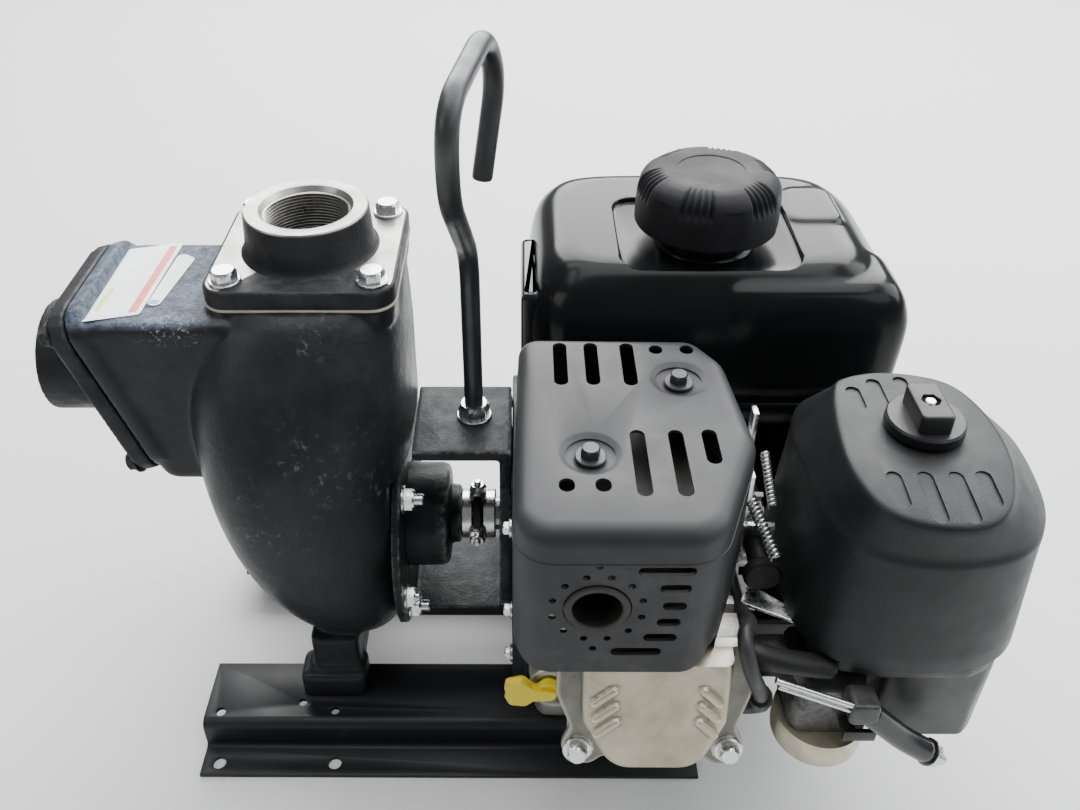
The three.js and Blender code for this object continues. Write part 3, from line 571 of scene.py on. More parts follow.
# ------------------------------------------------------------------ fasteners
def hex_bolt(name, centre, axis, flats, head, washer=0.0, body="frame", look="zinc",
             stud=0.0, stands_for=()):
    """A hexagon head on a washer: centre is on the surface it clamps, in metres."""
    w = AXES[axis][2] if isinstance(axis, str) else Vector(axis).normalized()
    parts = []
    thick = 0.0
    if washer:
        thick = 1.8
        parts.append(lathe(name, [(0, 0), (washer, 0), (washer, thick * 0.75),
                                  (washer - 0.5, thick), (0, thick)], centre, w, 40))
    u = w.orthogonal().normalized()
    v = w.cross(u)
    rows = []
    across = flats / math.sqrt(3)
    for height, scale, facet in ((thick - 0.05, 1.0, 1.0), (thick + head * 0.78, 1.0, 1.0),
                                 (thick + head, 0.93, 0.0)):
        row = []
        for i in range(36):
            angle = 2 * math.pi * i / 36
            wrapped = (angle + math.pi / 6) % (math.pi / 3) - math.pi / 6
            hexagonal = flats / 2 / math.cos(wrapped)
            size = (hexagonal if facet else min(hexagonal, flats / 2 * 0.98)) * scale
            row.append(centre + (u * math.cos(angle) + v * math.sin(angle)) * size * MM
                       + w * height * MM)
        rows.append(row)
    parts.append(loft(name, rows))
    if stud:
        tip = thick + head + stud
        radius = across * 0.48
        parts.append(lathe(name, [(0, thick), (radius, thick), (radius, tip - 0.8),
                                  (radius - 0.8, tip), (0, tip)], centre, w, 20))
    obj = outward(join(name, parts))
    smooth(obj, 28)
    return piece(obj, look, body, stands_for)


# ------------------------------------------------------------------ rails
def folded(name, line, bend, sheet, x0, x1):
    """Sheet metal folded along a line of (y, z) points, running in X."""
    route = rounded_route([Vector((0, y, z)) for y, z in line], bend, 400.0)
    one_side, other_side = [], []
    for i, point in enumerate(route):
        along = (route[min(i + 1, len(route) - 1)] - route[max(i - 1, 0)]).normalized()
        across = Vector((0, -along.z, along.y)) * sheet / 2
        one_side.append(point + across)
        other_side.append(point - across)
    section = one_side + other_side[::-1]
    return outward(loft(name, [[at(x, p.y, p.z) for p in section] for x in (x0, x1)]))


def drill(name, x, y, z, radius, depth=40, axis="z"):
    return lathe(name, [(0, -depth), (radius, -depth), (radius, depth), (0, depth)],
                 at(x, y, z), axis, 32)


RAIL_LENGTH = 354.0
SHEET, BEND = 3.0, 5.5
RAILS = {
    "front_rail": ([(-126, 1.5), (-100.5, 1.5), (-100.5, 26.5), (-50, 26.5)],
                   [(12, -116.5, 4.75), (95, -116.5, 4.75), (11.3, -92, 3.5), (69.4, -84, 3),
                    (94, -91, 3)]),
    "rear_rail": ([(117, 1.5), (91.5, 1.5), (91.5, 26.5), (41, 26.5)],
                  [(12, 107.5, 4.75), (95, 107.5, 4.75)]),
}
for node, (line, holes) in RAILS.items():
    rail = folded(f"{node}_sheet", line, BEND, SHEET, 0, RAIL_LENGTH)
    for x, y, radius in holes:
        boolean(rail, drill("hole", x, y, 10, radius))
    piece(smooth(bevel(rail, 0.5, 2, 60), 40), "rail", stands_for=[node])


# ------------------------------------------------------------------ pump casing
def casing_material():
    """Black paint on rough iron, worn grey on the chamber's roof and along its front edge."""
    material, tree, shader, place = node_tree("casing_paint")
    split = tree.nodes.new("ShaderNodeSeparateXYZ")
    tree.links.new(place, split.inputs[0])
    roof = remap(tree, split.outputs["Z"], 0.3195, 0.3235, 0.0, 1.0)
    left = remap(tree, split.outputs["X"], at(40, 0, 0).x, at(24, 0, 0).x, 0.0, 1.0)
    worn_roof = times(tree, roof, left)
    base = mix_colour(tree, remap(tree, noise(tree, place, 22, 5, 0.62), 0.36, 0.66, 0, 1),
                      (0.0085, 0.009, 0.0105), (0.017, 0.0175, 0.0195))
    rough_paint = mix_colour(tree, remap(tree, noise(tree, place, 150, 6, 0.7), 0.35, 0.66, 0, 1),
                             (0.020, 0.028, 0.040), (0.12, 0.155, 0.21))
    base = mix_colour(tree, times(tree, worn_roof, remap(
        tree, noise(tree, place, 30, 3, 0.5), 0.2, 0.6, 0.55, 1.0)), base, rough_paint)
    flecks = remap(tree, noise(tree, place, 380, 5, 0.75), 0.56, 0.66, 0, 1)
    low = remap(tree, split.outputs["Z"], 0.308, 0.320, 0, 1)
    near = remap(tree, split.outputs["Y"], at(0, -14, 0).y, at(0, -28, 0).y, 0, 1)
    along = remap(tree, split.outputs["X"], at(-12, 0, 0).x, at(12, 0, 0).x, 0, 1)
    rim = times(tree, times(tree, low, near), times(tree, along, left))
    bare = times(tree, flecks, rim)
    scuffs = remap(tree, noise(tree, place, 13, 3, 0.5), 0.60, 0.72, 0, 1)
    fine_scuffs = remap(tree, noise(tree, place, 160, 6, 0.8), 0.55, 0.68, 0, 0.5)
    base = mix_colour(tree, times(tree, scuffs, fine_scuffs), base, (0.20, 0.20, 0.20))
    base = mix_colour(tree, bare, base, (0.50, 0.51, 0.52))
    tree.links.new(base, shader.inputs["Base Color"])
    gloss = remap(tree, noise(tree, place, 40, 5, 0.65), 0.3, 0.7, 0.30, 0.52)
    tree.links.new(gloss, shader.inputs["Roughness"])
    shader.inputs["Specular IOR Level"].default_value = 0.21
    waves = noise(tree, place, 55, 4, 0.55)
    pits = noise(tree, place, 360, 4, 0.65)
    grit = times(tree, noise(tree, place, 420, 4, 0.7), worn_roof)
    add_bump(tree, shader, [(waves, 0.0020, 0.42), (pits, 0.0005, 0.40), (grit, 0.0016, 0.8)])
    return material


MAT["casing"] = casing_material()
CASING_RINGS = [(46, 100, 132, -16, 30), (60, 84, 140, -42, 58), (84, 62, 148, -66, 86),
                (112, 44, 152, -80, 104), (146, 28, 154, -88, 114), (180, 18, 155, -90, 118),
                (215, 12, 155, -86, 118), (250, 10, 155, -76, 116), (280, 13, 155, -64, 111),
                (304, 20, 154, -50, 105), (321, 29, 153, -38, 99), (330, 37, 151, -26, 94)]
SUCTION_TILT = math.radians(17)
SUCTION_AT = at(-30, 20, 267)
OUT = Vector((-math.cos(SUCTION_TILT), 0, -math.sin(SUCTION_TILT)))
UPWARDS = Vector((-math.sin(SUCTION_TILT), 0, math.cos(SUCTION_TILT)))


def facing(x, z, y):
    return at(x, y, z)


def slanted(y, z, x):
    """A point of the suction flange's own frame: x runs into the pump."""
    return SUCTION_AT + (Vector((0, y, 0)) + UPWARDS * z - OUT * x) * MM


def volute(name, rings, around=120):
    rows = [superellipse(*row, 2.6, around) for row in soften([list(r) for r in rings], 5)]
    return outward(loft(name, rows))


chamber_side = outline([(-47, 324), (-11, 198), (34, 198), (60, 324)], 12)
casing = join("volute_casting", [
    volute("shell", CASING_RINGS),
    outward(prism("chamber", chamber_side, -33, 73, top=7, bottom=7, shape=facing)),
    outward(prism("slab", outline(rectangle(-56, 56, -65, 65), 20), -2, 9, shape=slanted)),
    outward(prism("neck", outline(rectangle(35, 151, -24, 92), 14), 314, 329)),
    outward(prism("beam", outline(rectangle(78, 112, -70, 76), 4), 36, 80)),
    outward(prism("foot", outline(rectangle(69, 116, -79, -53), 5), 27, 50)),
    outward(prism("foot", outline(rectangle(69, 116, 44, 76), 5), 27, 50)),
])
cast(casing, 1.7, 14)
boolean(casing, box("floor", 0, 200, -200, 200, 0, 28.4))
boolean(casing, box("roof", 30, 160, -60, 130, 328.1, 400))
boolean(casing, box("face", 142, 240, -200, 200, 0, 214))
boolean(casing, volute("hollow", [(z, x0 + 9, x1 - 9, y0 + 9, y1 - 9)
                                  for z, x0, x1, y0, y1 in CASING_RINGS[2:-1]], 80))
room = [(-35, 314), (-4.4, 214), (54, 214), (54, 314)]
boolean(casing, outward(prism("room", [Vector(p) for p in room], -24, 64, shape=facing)))
boolean(casing, outward(prism("mouth", outline(rectangle(-38, 38, -42, 42), 24), -10, 14,
                              shape=slanted)))
boolean(casing, lathe("bore", [(0, 280), (26.5, 280), (26.5, 340), (0, 340)], at(93, 34, 0)))
boolean(casing, lathe("seat", [(0, 120), (60, 120), (60, 150), (0, 150)], at(0, 0, SHAFT_Z), "x"))
smooth(casing, 50)
piece(casing, "casing", stands_for=["pump_casing"])

# Labels on the chamber's roof: blank paper with coloured patches.
LABEL_Z = 324.25


def label(name, corners, look, lift=0.0, radius=3.0):
    points = outline(corners, radius, 5)
    obj = prism(name, points, LABEL_Z + lift, LABEL_Z + lift + 0.25)
    return piece(outward(obj), look)


def between(quad, u, v):
    """A point of a label: u runs across it from its left side, v along it from the front."""
    low = Vector(quad[0]).lerp(Vector(quad[3]), v)
    high = Vector(quad[1]).lerp(Vector(quad[2]), v)
    return tuple(low.lerp(high, u))


def patch(quad, u0, u1, v0, v1):
    return [between(quad, u, v) for u, v in ((u0, v0), (u1, v0), (u1, v1), (u0, v1))]


BIG_LABEL = [(-41, -29), (-5.5, -20), (-2.5, 70), (-38, 60)]
SMALL_LABEL = [(-4.4, -10), (3.5, -10), (11, 48), (-1.4, 57)]
label("label_large", BIG_LABEL, "paper")
label("label_small", SMALL_LABEL, "paper", 0.02, 4)
label("label_band", patch(BIG_LABEL, 0.78, 0.92, 0.04, 0.96), "red", 0.12, 0.5)
label("label_mark", patch(BIG_LABEL, 0.16, 0.26, 0.12, 0.42), "lime", 0.12, 2)
label("label_corner", patch(SMALL_LABEL, 0.1, 0.8, 0.02, 0.10), "blue", 0.12, 1)

# ------------------------------------------------------------------ discharge
PORT_X, PORT_Y, PLATE_TOP, PLATE_BOTTOM, MOUTH = 93.0, 34.0, 342.5, 330.5, 370.5


def square(half):
    return rectangle(PORT_X - half, PORT_X + half, PORT_Y - half, PORT_Y + half)


def thread(inner, depth_z, top_z, pitch=2.2, depth=1.25):
    """The teeth of a pipe thread as (radius, z) points, from the mouth inwards."""
    teeth = []
    z = top_z
    while z > depth_z:
        teeth += [(inner + depth, z), (inner + depth, z - pitch * 0.15),
                  (inner, z - pitch * 0.45), (inner, z - pitch * 0.6)]
        z -= pitch
    return teeth


plate = prism("plate", outline(square(59), 15), PLATE_BOTTOM, PLATE_TOP, top=2.2, bottom=1.2)
boolean(plate, drill("bore", PORT_X, PORT_Y, PLATE_TOP, 37, 60))
ring_profile = [(45.5, PLATE_TOP - 0.6), (43.4, PLATE_TOP + 0.4), (42.2, PLATE_TOP + 2.0),
                (41.4, PLATE_TOP + 4.5), (40.6, PLATE_TOP + 12), (39.7, MOUTH - 2.2),
                (39.3, MOUTH - 0.9), (38.5, MOUTH), (30.6, MOUTH), (29.9, MOUTH - 0.3),
                (27.9, MOUTH - 3.2)]
ring_profile += thread(26.5, MOUTH - 32, MOUTH - 3.4)
ring_profile += [(26.5, PLATE_BOTTOM), (45.0, PLATE_BOTTOM)]
ring = lathe("ring", ring_profile, at(PORT_X, PORT_Y, 0), "z", 96)
flange = outward(join("discharge_plate", [plate, ring]))
smooth(flange, 32)
piece(flange, "iron", stands_for=["discharge_flange"], extra=["machined"])
axis_point = at(PORT_X, PORT_Y, 0)


def on_mouth(centre):
    """The machined rim of the mouth and everything inside its bore."""
    radius = math.hypot(centre.x - axis_point.x, centre.y - axis_point.y) / MM
    return radius < 39.5 and (centre.z > (MOUTH - 0.6) * MM or radius < 31)


repaint(flange, 1, on_mouth)
bead = prism("discharge_seal_bead", outline(square(59.4), 15.4), 328.3, 330.3, top=0.9, bottom=0.9)
boolean(bead, drill("bore", PORT_X, PORT_Y, PLATE_TOP, 37, 60))
piece(smooth(outward(bead), 50), "gasket", stands_for=["discharge_gasket"])
for k, (dx, dy) in enumerate(((-45, -45), (45, -45), (-45, 45), (45, 45))):
    hex_bolt(f"discharge_bolt_{k + 1}_head", at(PORT_X + dx, PORT_Y + dy, PLATE_TOP + 0.2),
             "z", 14.3, 6.6, 10.0, stands_for=[f"discharge_bolt_{k + 1}"])

# ------------------------------------------------------------------ suction
cast_copy("suction_casting", "suction_flange", "iron", 1.3)
mouth_thread = [(r, h + 84) for r, h in thread(26.1, -84 + 3, -84 + 26)]
mouth_rows = [(27.9, 0.4), (29.4, -0.2), (29.4, 26.0)] + mouth_thread
suction_thread = lathe("suction_thread", [(r, -h) for r, h in mouth_rows], at(-84, 20, 267),
                       (-1, 0, 0), 72)
piece(smooth(outward(suction_thread), 30), "machined")
for k, (dy, dz) in enumerate(((-46, -53), (46, -53), (-46, 53), (46, 53))):
    spot = SUCTION_AT + OUT * 13.4 * MM + Vector((0, dy, 0)) * MM + UPWARDS * dz * MM
    hex_bolt(f"suction_bolt_{k + 1}", spot, OUT, 12.7, 6.0, 9.0, look="iron")

# ------------------------------------------------------------------ bearing housing and bracket
housing_profile = [(12.8, 135), (59.2, 135), (59.2, 140.6), (58.4, 141.6), (41, 142), (38.6, 143.5),
                   (37.6, 146.5), (37.3, 172), (36, 175.5), (33, 177), (25, 177.3), (22, 178.4),
                   (21, 180.5), (21, 183.6), (19.8, 185), (12.8, 185)]
housing = lathe("bearing_casting", housing_profile, at(0, 0, SHAFT_Z), "x", 64)
piece(smooth(outward(housing), 35), "bracket", stands_for=["bearing_housing"])
cast_copy("adapter_casting", "adapter_bracket", "bracket", 1.2, 6)
BOLT_CIRCLE = 66


def on_flange(x, degrees):
    """A point on the bolt circle of the bearing housing's flange."""
    angle = math.radians(degrees)
    return at(x, BOLT_CIRCLE * math.cos(angle), SHAFT_Z + BOLT_CIRCLE * math.sin(angle))


for name, degrees in (("upper", 128), ("lower", 222)):
    hex_bolt(f"bracket_nut_{name}_stud", on_flange(148.8, degrees), "x", 14.3, 6.5, 9.5, stud=6.0,
             stands_for=[f"bracket_nut_{name}"])
for k, degrees in enumerate((52, 318, 196)):
    hex_bolt(f"bracket_screw_{k + 1}", on_flange(148.5, degrees), "x", 12.7, 5.5, 8.5, stud=3.0)

# ------------------------------------------------------------------ lifting handle
handle_line = [(196.3, 6, 204), (196.3, 6, 352), (191, -68, 426), (192, -71, 476), (208, 14, 485),
               (214, 32, 456), (204.8, 22, 394)]
handle = tube("handle_bar", rounded_route(handle_line, 24, 3.0), 6.35, 32, 0.3)
piece(handle, "rod", stands_for=["lifting_handle"])
hex_bolt("handle_nut_zinc", at(196.3, 6, 224.3), "z", 19.0, 9.6, 12.0, stands_for=["handle_nut"])

# ------------------------------------------------------------------ coupling
for name, x0, x1, node in (("pump_hub_turned", 185.6, 193.6, "coupling_hub_pump"),
                           ("engine_hub_turned", 200.8, 210.0, "coupling_hub_engine")):
    hub = lathe(name, [(12.5, x0), (17.2, x0), (18, x0 + 0.8), (18, x1 - 0.8), (17.2, x1),
                       (12.5, x1)], at(0, 0, SHAFT_Z), "x", 48)
    piece(smooth(outward(hub), 30), "zinc", "rotor", [node])
disc = lathe("coupling_disc_rubber", [(6.2, 194.2), (21, 194.2), (22, 195), (22, 199.4),
                                      (21, 200.2), (6.2, 200.2)], at(0, 0, SHAFT_Z), "x", 48)
piece(smooth(outward(disc), 30), "rubber", "rotor", ["coupling_disc"])
middle = at(197.2, 0, SHAFT_Z)
for k in range(4):
    angle = math.pi / 2 * k
    away = Vector((0, -math.sin(angle), math.cos(angle)))
    sleeve = lathe(f"coupling_collar_{k + 1}",
                   [(3.0, 9.0), (5.4, 9.0), (6.1, 9.8), (6.1, 15.0), (5.2, 15.6), (5.2, 16.6),
                    (6.3, 17.2), (6.3, 20.6), (5.6, 21.4), (3.0, 21.4)], middle, away, 32)
    piece(smooth(outward(sleeve), 30), "yellow_zinc", "rotor")
    hex_bolt(f"coupling_sleeve_{k + 1}", middle + away * 21.8 * MM, away, 9.5, 5.0,
             5.9, "rotor", stud=3.0)

# ------------------------------------------------------------------ engine block
cast_copy("crankcase_casting", "crankcase", "aluminium", 1.9)
rounded_copy("side_cover_casting", "crankcase_cover", "cover_paint", 1.6)
for k, (y, z) in enumerate(((-66, 62), (-66, 188), (70, 62), (70, 188), (-74, 118), (78, 125))):
    hex_bolt(f"side_cover_bolt_{k + 1}", at(222.4, y, z), (-1, 0, 0), 8.0, 4.0, 6.5)

TILT = math.radians(15.5)


def from_head(x, y, z):
    """A point of the cylinder's own frame: z runs out along the bore, y is up across it."""
    return at(301.5 + x, math.sin(TILT) * y - math.cos(TILT) * z,
              SHAFT_Z + math.cos(TILT) * y + math.sin(TILT) * z)


head_axis = from_head(0, 0, 1) - from_head(0, 0, 0)
rounded_copy("head_casting", "cylinder_head", "aluminium", 0.5, 2, 35)


def cover_rib(x0, y0, x1, y1):
    points = round_ended(x0, y0, x1, y1, 5.0, 16)
    return prism("rib", points, 210, 217.2, top=1.4, shape=from_head)


def head_plate(name, points, radius, z0, z1, top):
    return prism(name, outline(points, radius), z0, z1, top=top, shape=from_head)


def cover_material():
    """Yellowish lacquered crown on a darker grey cast plate; the plate lies lower on the bore."""
    material, tree, shader, place = node_tree("valve_cover_aluminium")
    bore_line = head_axis.normalized()
    height = tree.nodes.new("ShaderNodeVectorMath")
    height.operation = "DOT_PRODUCT"
    tree.links.new(place, height.inputs[0])
    height.inputs[1].default_value = bore_line
    crown = remap(tree, height.outputs["Value"], from_head(0, 0, 202.4).dot(bore_line),
                  from_head(0, 0, 205.5).dot(bore_line), 0.0, 1.0)
    patches = remap(tree, noise(tree, place, 40, 5, 0.62), 0.35, 0.65, 0.0, 1.0)
    plate = mix_colour(tree, patches, (0.13, 0.13, 0.112), (0.21, 0.21, 0.18))
    lacquer = mix_colour(tree, patches, (0.34, 0.305, 0.225), (0.47, 0.43, 0.325))
    base = mix_colour(tree, crown, plate, lacquer)
    geometry = tree.nodes.new("ShaderNodeNewGeometry")
    rubbed = remap(tree, geometry.outputs["Pointiness"], 0.505, 0.56, 0.0, 0.7)
    base = mix_colour(tree, rubbed, base, (0.74, 0.71, 0.60))
    # Painted shade: the concave hollows and creases of the casting are darkened towards dark brown,
    # for the shade that falls in them.
    hollow = remap(tree, geometry.outputs["Pointiness"], 0.495, 0.44, 0.0, 0.75)
    base = mix_colour(tree, hollow, base, (0.10, 0.095, 0.075))
    tree.links.new(base, shader.inputs["Base Color"])
    gloss = remap(tree, noise(tree, place, 90, 4, 0.6), 0.3, 0.7, 0.30, 0.50)
    tree.links.new(gloss, shader.inputs["Roughness"])
    shader.inputs["Metallic"].default_value = 0.75
    add_bump(tree, shader, [(noise(tree, place, 130, 3, 0.5), 0.0008, 0.35),
                            (noise(tree, place, 700, 3, 0.6), 0.0003, 0.45)])
    return material


MAT["cover"] = cover_material()
cover_parts = [
    head_plate("plate", [(-48, -47), (-34, -47), (-28, -42), (28, -42), (34, -47), (48, -47),
                         (51, -34), (46, -22), (53, 0), (53, 40), (-53, 40), (-54, 0), (-46, -22),
                         (-51, -34)],
               [7, 7, 4, 4, 7, 7, 7, 8, 18, 14, 14, 18, 8, 7], 196.4, 202, 1.6),
    head_plate("crown", [(-24, -40.5), (24, -40.5), (38, -10), (40, 40), (-41, 40), (-40, -10)],
               [18, 18, 16, 10, 10, 16], 200, 214.6, 5.0),
]
for k in range(3):
    low, high, shift = 5 - 10 * k, 13 - 10 * k, 0.8 * k
    cover_parts.append(cover_rib(-34 + shift, low, -24 + shift, high))
    cover_parts.append(cover_rib(32 - shift, low, 24 - shift, high))
cover = join("valve_cover_casting", cover_parts)
cast(outward(cover), 0.85, 5)
for x in (-42, 42):
    spot = lathe("spot", [(0, -2), (8.6, -2), (8.6, 16), (0, 16)], from_head(x, -36, 204),
                 head_axis, 32)
    boolean(cover, spot)
boolean(cover, box("trim", 200, 400, -230, 20, 221.6, 330))
piece(smooth(cover, 50), "cover", stands_for=["valve_cover"])
for name, x in (("left", -42), ("right", 42)):
    hex_bolt(f"valve_cover_screw_{name}", from_head(x, -36, 202.0), head_axis, 10.0, 5.0, 8.0,
             stands_for=[f"valve_cover_bolt_{name}"])

# ------------------------------------------------------------------ oil dipstick
filler = lathe("dipstick_plug", [(0, -119), (6.6, -119), (7.8, -117.8), (7.8, -113.4), (7, -112.6),
                                 (5.6, -112.6), (5.6, -74), (0, -73)], at(247, 0, 88), "y", 40)
piece(smooth(outward(filler), 35), "yellow", "dipstick", ["oil_dipstick"])

tab_points = outline([(250, 85), (236, 84), (231, 79), (222, 80), (219, 88), (220, 98),
                      (229, 101), (236, 93), (250, 91)], 2.6, 6)
tab = prism("dipstick_tab", tab_points, -121.8, -115.8, top=1.8, bottom=1.4, shape=facing)
piece(smooth(outward(tab), 45), "yellow", "dipstick")

# ------------------------------------------------------------------ exhaust and its guard
# The guard's outline from above, anticlockwise from its front left corner.
GUARD_LINE = [(224, -203), (325, -203), (352, -134), (346, -64), (331, -40), (227, -38)]
GUARD_RADII = [20, 24, 22, 22, 14, 12]
GUARD_LOW, GUARD_HIGH, GUARD_FRONT, GUARD_SHEET = 222, 322, -203, 2
outer = outline(GUARD_LINE, GUARD_RADII, 10)
guard = outward(prism("guard_shell", outer, GUARD_LOW, GUARD_HIGH, top=10, steps=8))
boolean(guard, outward(prism("inner", inset(outer, GUARD_SHEET), GUARD_LOW - 1,
                             GUARD_HIGH - GUARD_SHEET, top=8.6, steps=6)))


TOP_SLOTS = [(251, -67.5, 41), (269, -67.5, 41), (290, -68, 41), (307, -54, 8.6),
             (325, -54, 8.6), (289, -152, 50), (309, -152, 50), (326.5, -140, 27),
             (251, -169, 9.6), (269, -169, 9.6)]
FRONT_SLOTS = [(298.5, 297.5, 28), (303.5, 285.5, 15.5), (304, 273, 12), (302, 261, 12),
               (298.5, 249.5, 17), (287, 238.5, 26)]
TOP_WIDTH, FRONT_WIDTH = 8.0, 5.8
for x, y, length in TOP_SLOTS:
    half = max(length - TOP_WIDTH, 0.6) / 2
    slot = round_ended(x, y - half, x, y + half, TOP_WIDTH)
    boolean(guard, outward(prism("slot", slot, GUARD_HIGH - 14, GUARD_HIGH + 4)))
for x, z, length in FRONT_SLOTS:
    half = max(length - FRONT_WIDTH, 0.6) / 2
    slot = round_ended(x - half, z, x + half, z, FRONT_WIDTH)
    boolean(guard, outward(prism("slot", slot, GUARD_FRONT - 9, GUARD_FRONT + 7, shape=facing)))
EXHAUST_X, EXHAUST_Z = 266.0, 271.0
PORT_CIRCLE, PORT_RADIUS = 23, 1.9
CORNER = 13.0
for edge_x, side in ((224.0, 1), (325.0, -1)):
    arc = [(edge_x + side * CORNER * (1 - s), GUARD_LOW + CORNER * (1 - c))
           for s, c in quarter_turn(8)]
    corner = [(edge_x - side * 6, GUARD_LOW + CORNER), (edge_x - side * 6, GUARD_LOW - 3),
              (edge_x + side * CORNER, GUARD_LOW - 3)] + arc
    cutter = prism("corner", [Vector(p) for p in corner], GUARD_FRONT - 9, GUARD_FRONT + 17,
                   shape=facing)
    boolean(guard, outward(cutter))
boolean(guard, drill("port", EXHAUST_X, GUARD_FRONT, EXHAUST_Z, 17.2, 8, "y"))
for k in range(12):
    angle = math.radians(15 + 30 * k)
    boolean(guard, drill("port", EXHAUST_X + PORT_CIRCLE * math.cos(angle), GUARD_FRONT,
                         EXHAUST_Z + PORT_CIRCLE * math.sin(angle), PORT_RADIUS, 8, "y"))
for x, z in ((EXHAUST_X, 301), (EXHAUST_X - 1, 241)):
    boolean(guard, drill("port", x, GUARD_FRONT, z, PORT_RADIUS, 8, "y"))
GUARD_BOLTS = {"rear": (317, -82), "front": (264, -145)}
for x, y in GUARD_BOLTS.values():
    dish = lathe("dish", [(0, 318.4), (9.5, 318.4), (12.5, 319.6), (16.0, 321.6), (18.5, 322.6),
                          (18.5, 330), (0, 330)], at(x, y, 0), "z", 40)
    boolean(guard, outward(dish))
    floor_ring = lathe("ring", [(3.4, 316.4), (9.8, 316.4), (13.4, 317.8), (17, 320), (16.4, 320.6),
                                (13, 318.8), (9.5, 317.9), (3.4, 317.9)], at(x, y, 0), "z", 40)
    guard = join("guard_shell", [guard, outward(floor_ring)])
piece(smooth(guard, 32), "shield", stands_for=["muffler_guard"])
for name, (x, y) in GUARD_BOLTS.items():
    hex_bolt(f"guard_screw_{name}", at(x, y, 318.6), "z", 9.2, 5.2, 8.2,
             stands_for=[f"guard_bolt_{name}"], look="rod")
lip = prism("guard_lip", inset(outer, -0.5), 301.2, 302.6, top=0.5, bottom=0.5, steps=3)
boolean(lip, outward(prism("inner", inset(outer, 0.6), 295, 310)))
piece(smooth(outward(lip), 40), "shield")
rounded_copy("muffler_can", "muffler_body", "soot", 2.0)
outlet = lathe("exhaust_tip", [(16.5, -180.5), (16.5, -203.6), (15.9, -204.4), (13.2, -204.4),
                               (12.5, -203.6), (12.5, -180.5)], at(EXHAUST_X, 0, EXHAUST_Z), "y",
               56)
piece(smooth(outward(outlet), 35), "soot", stands_for=["exhaust_outlet"])

# ------------------------------------------------------------------ fuel tank
TANK_RINGS = [(247.0, 240, 468, -9, 150), (252, 236.5, 472.5, -12.5, 154),
              (262, 235, 475, -14.4, 156), (294, 234, 476, -15, 157), (312, 236, 472.5, -11.5, 156),
              (325, 240, 464, -5, 153), (334, 247, 454, 3, 148), (339.3, 254, 444, 10, 143),
              (341, 262, 434, 18, 136)]


def shell(name, rings, power, around=160, steps=5):
    rows = [superellipse(*row, power, around) for row in soften([list(r) for r in rings], steps)]
    return loft(name, rows)


tank_parts = [shell("tank", TANK_RINGS, 6.0)]
shoulder = [(262, 345, 474, -15, 60), (300, 344, 475.6, -15.4, 60), (316, 346, 473, -13, 58),
            (326, 350, 468, -9, 54), (332, 356, 461, -3, 50), (334, 364, 452, 5, 46)]
tank_parts.append(shell("shoulder", shoulder, 5.0))
pad = outline([(404, 66), (446, 66), (446, 118), (414, 118)], 10)
tank_parts.append(prism("pad", pad, 334, 343.0, top=2.4))
tank = outward(join("tank_shell", tank_parts))
cast(tank, 1.8, 4)
recess = prism("recess", outline([(291, 8), (408, 8), (408, 104), (291, 104)], 16), 337.4, 352,
               bottom=2.0)
boolean(tank, outward(recess))
ease = tank.modifiers.new("ease", "SMOOTH")
ease.factor = 0.5
ease.iterations = 6
apply_modifiers(tank)
piece(smooth(tank, 60), "tank", stands_for=["fuel_tank"])
CAP_X, CAP_Y = 349, 52
neck = lathe("filler_neck_turned", [(26, 337), (34, 337), (33, 338.6), (31.4, 340), (31, 343),
                                    (31, 370.6), (30.2, 372), (26.8, 372), (26, 371)],
             at(CAP_X, CAP_Y, 0), "z", 64)
piece(smooth(outward(neck), 35), "tank", stands_for=["fuel_filler_neck"])
seam_line = outline(rectangle(235.5, 471.5, -13.5, 154.5), 24)
seam = prism("tank_seam", seam_line, 245.4, 249.4, top=1.6, bottom=1.6, steps=4)
piece(smooth(outward(seam), 45), "tank")
rounded_copy("tank_tray", "fuel_tank_base", "tank", 1.5)
edge_strip = prism("tank_edge_strip", outline(rectangle(228.4, 241.0, 12, 88), 2.2), 244, 318,
                   top=5.0, bottom=3.0)
piece(smooth(outward(edge_strip), 45), "gloss")

# ------------------------------------------------------------------ fuel cap
CAP_PROFILE = [(0, 386.2), (20, 386.4), (22, 387.0), (30, 387.2), (33.5, 386.8), (37, 385.8),
               (41, 383.4), (43.8, 380.2), (45.4, 376), (46.1, 370), (46.4, 362), (46.5, 354),
               (46.3, 352.2), (45.2, 351.2), (42.5, 351.2)]
GRIPS, RIDGES = 6, 4


def cap_radius(angle, radius, z):
    """The cap's wall is pressed in at six grips, each with four ridges."""
    turn = (angle / (2 * math.pi) * GRIPS + 0.32) % 1.0 - 0.5
    width = 0.20
    if abs(turn) > width + 0.05 or radius < 28:
        lobe = 0.9 * math.cos(turn * 2 * math.pi) ** 2 if radius > 40 and z < 378 else 0.0
        return radius - lobe
    fade = min(1.0, (width + 0.05 - abs(turn)) / 0.05)
    depth = min(1.0, max(0.0, (radius - 28) / 8)) * min(1.0, max(0.0, (z - 371) / 5))
    ridge = 0.5 - 0.5 * math.cos(2 * math.pi * (turn / (2 * width) + 0.5) * RIDGES)
    return radius - fade * depth * (3.0 - 2.4 * ridge)


def cap_ring(radius_at, z, around=432):
    ring = []
    for i in range(around):
        angle = 2 * math.pi * i / around
        size = radius_at(angle)
        ring.append(at(CAP_X + size * math.cos(angle), CAP_Y + size * math.sin(angle), z))
    return ring


CAP_BORE = 41.6
cap_rings = [cap_ring(lambda angle: cap_radius(angle, r, z), z)
             for r, z in soften([[r, z] for r, z in CAP_PROFILE], 4)]
cap_rings += [cap_ring(lambda angle: CAP_BORE, z) for z in (353, 374)]
cap = outward(loft("fuel_cap_moulding", cap_rings[1:]))
piece(smooth(cap, 40), "cap", "cap", ["fuel_cap"])

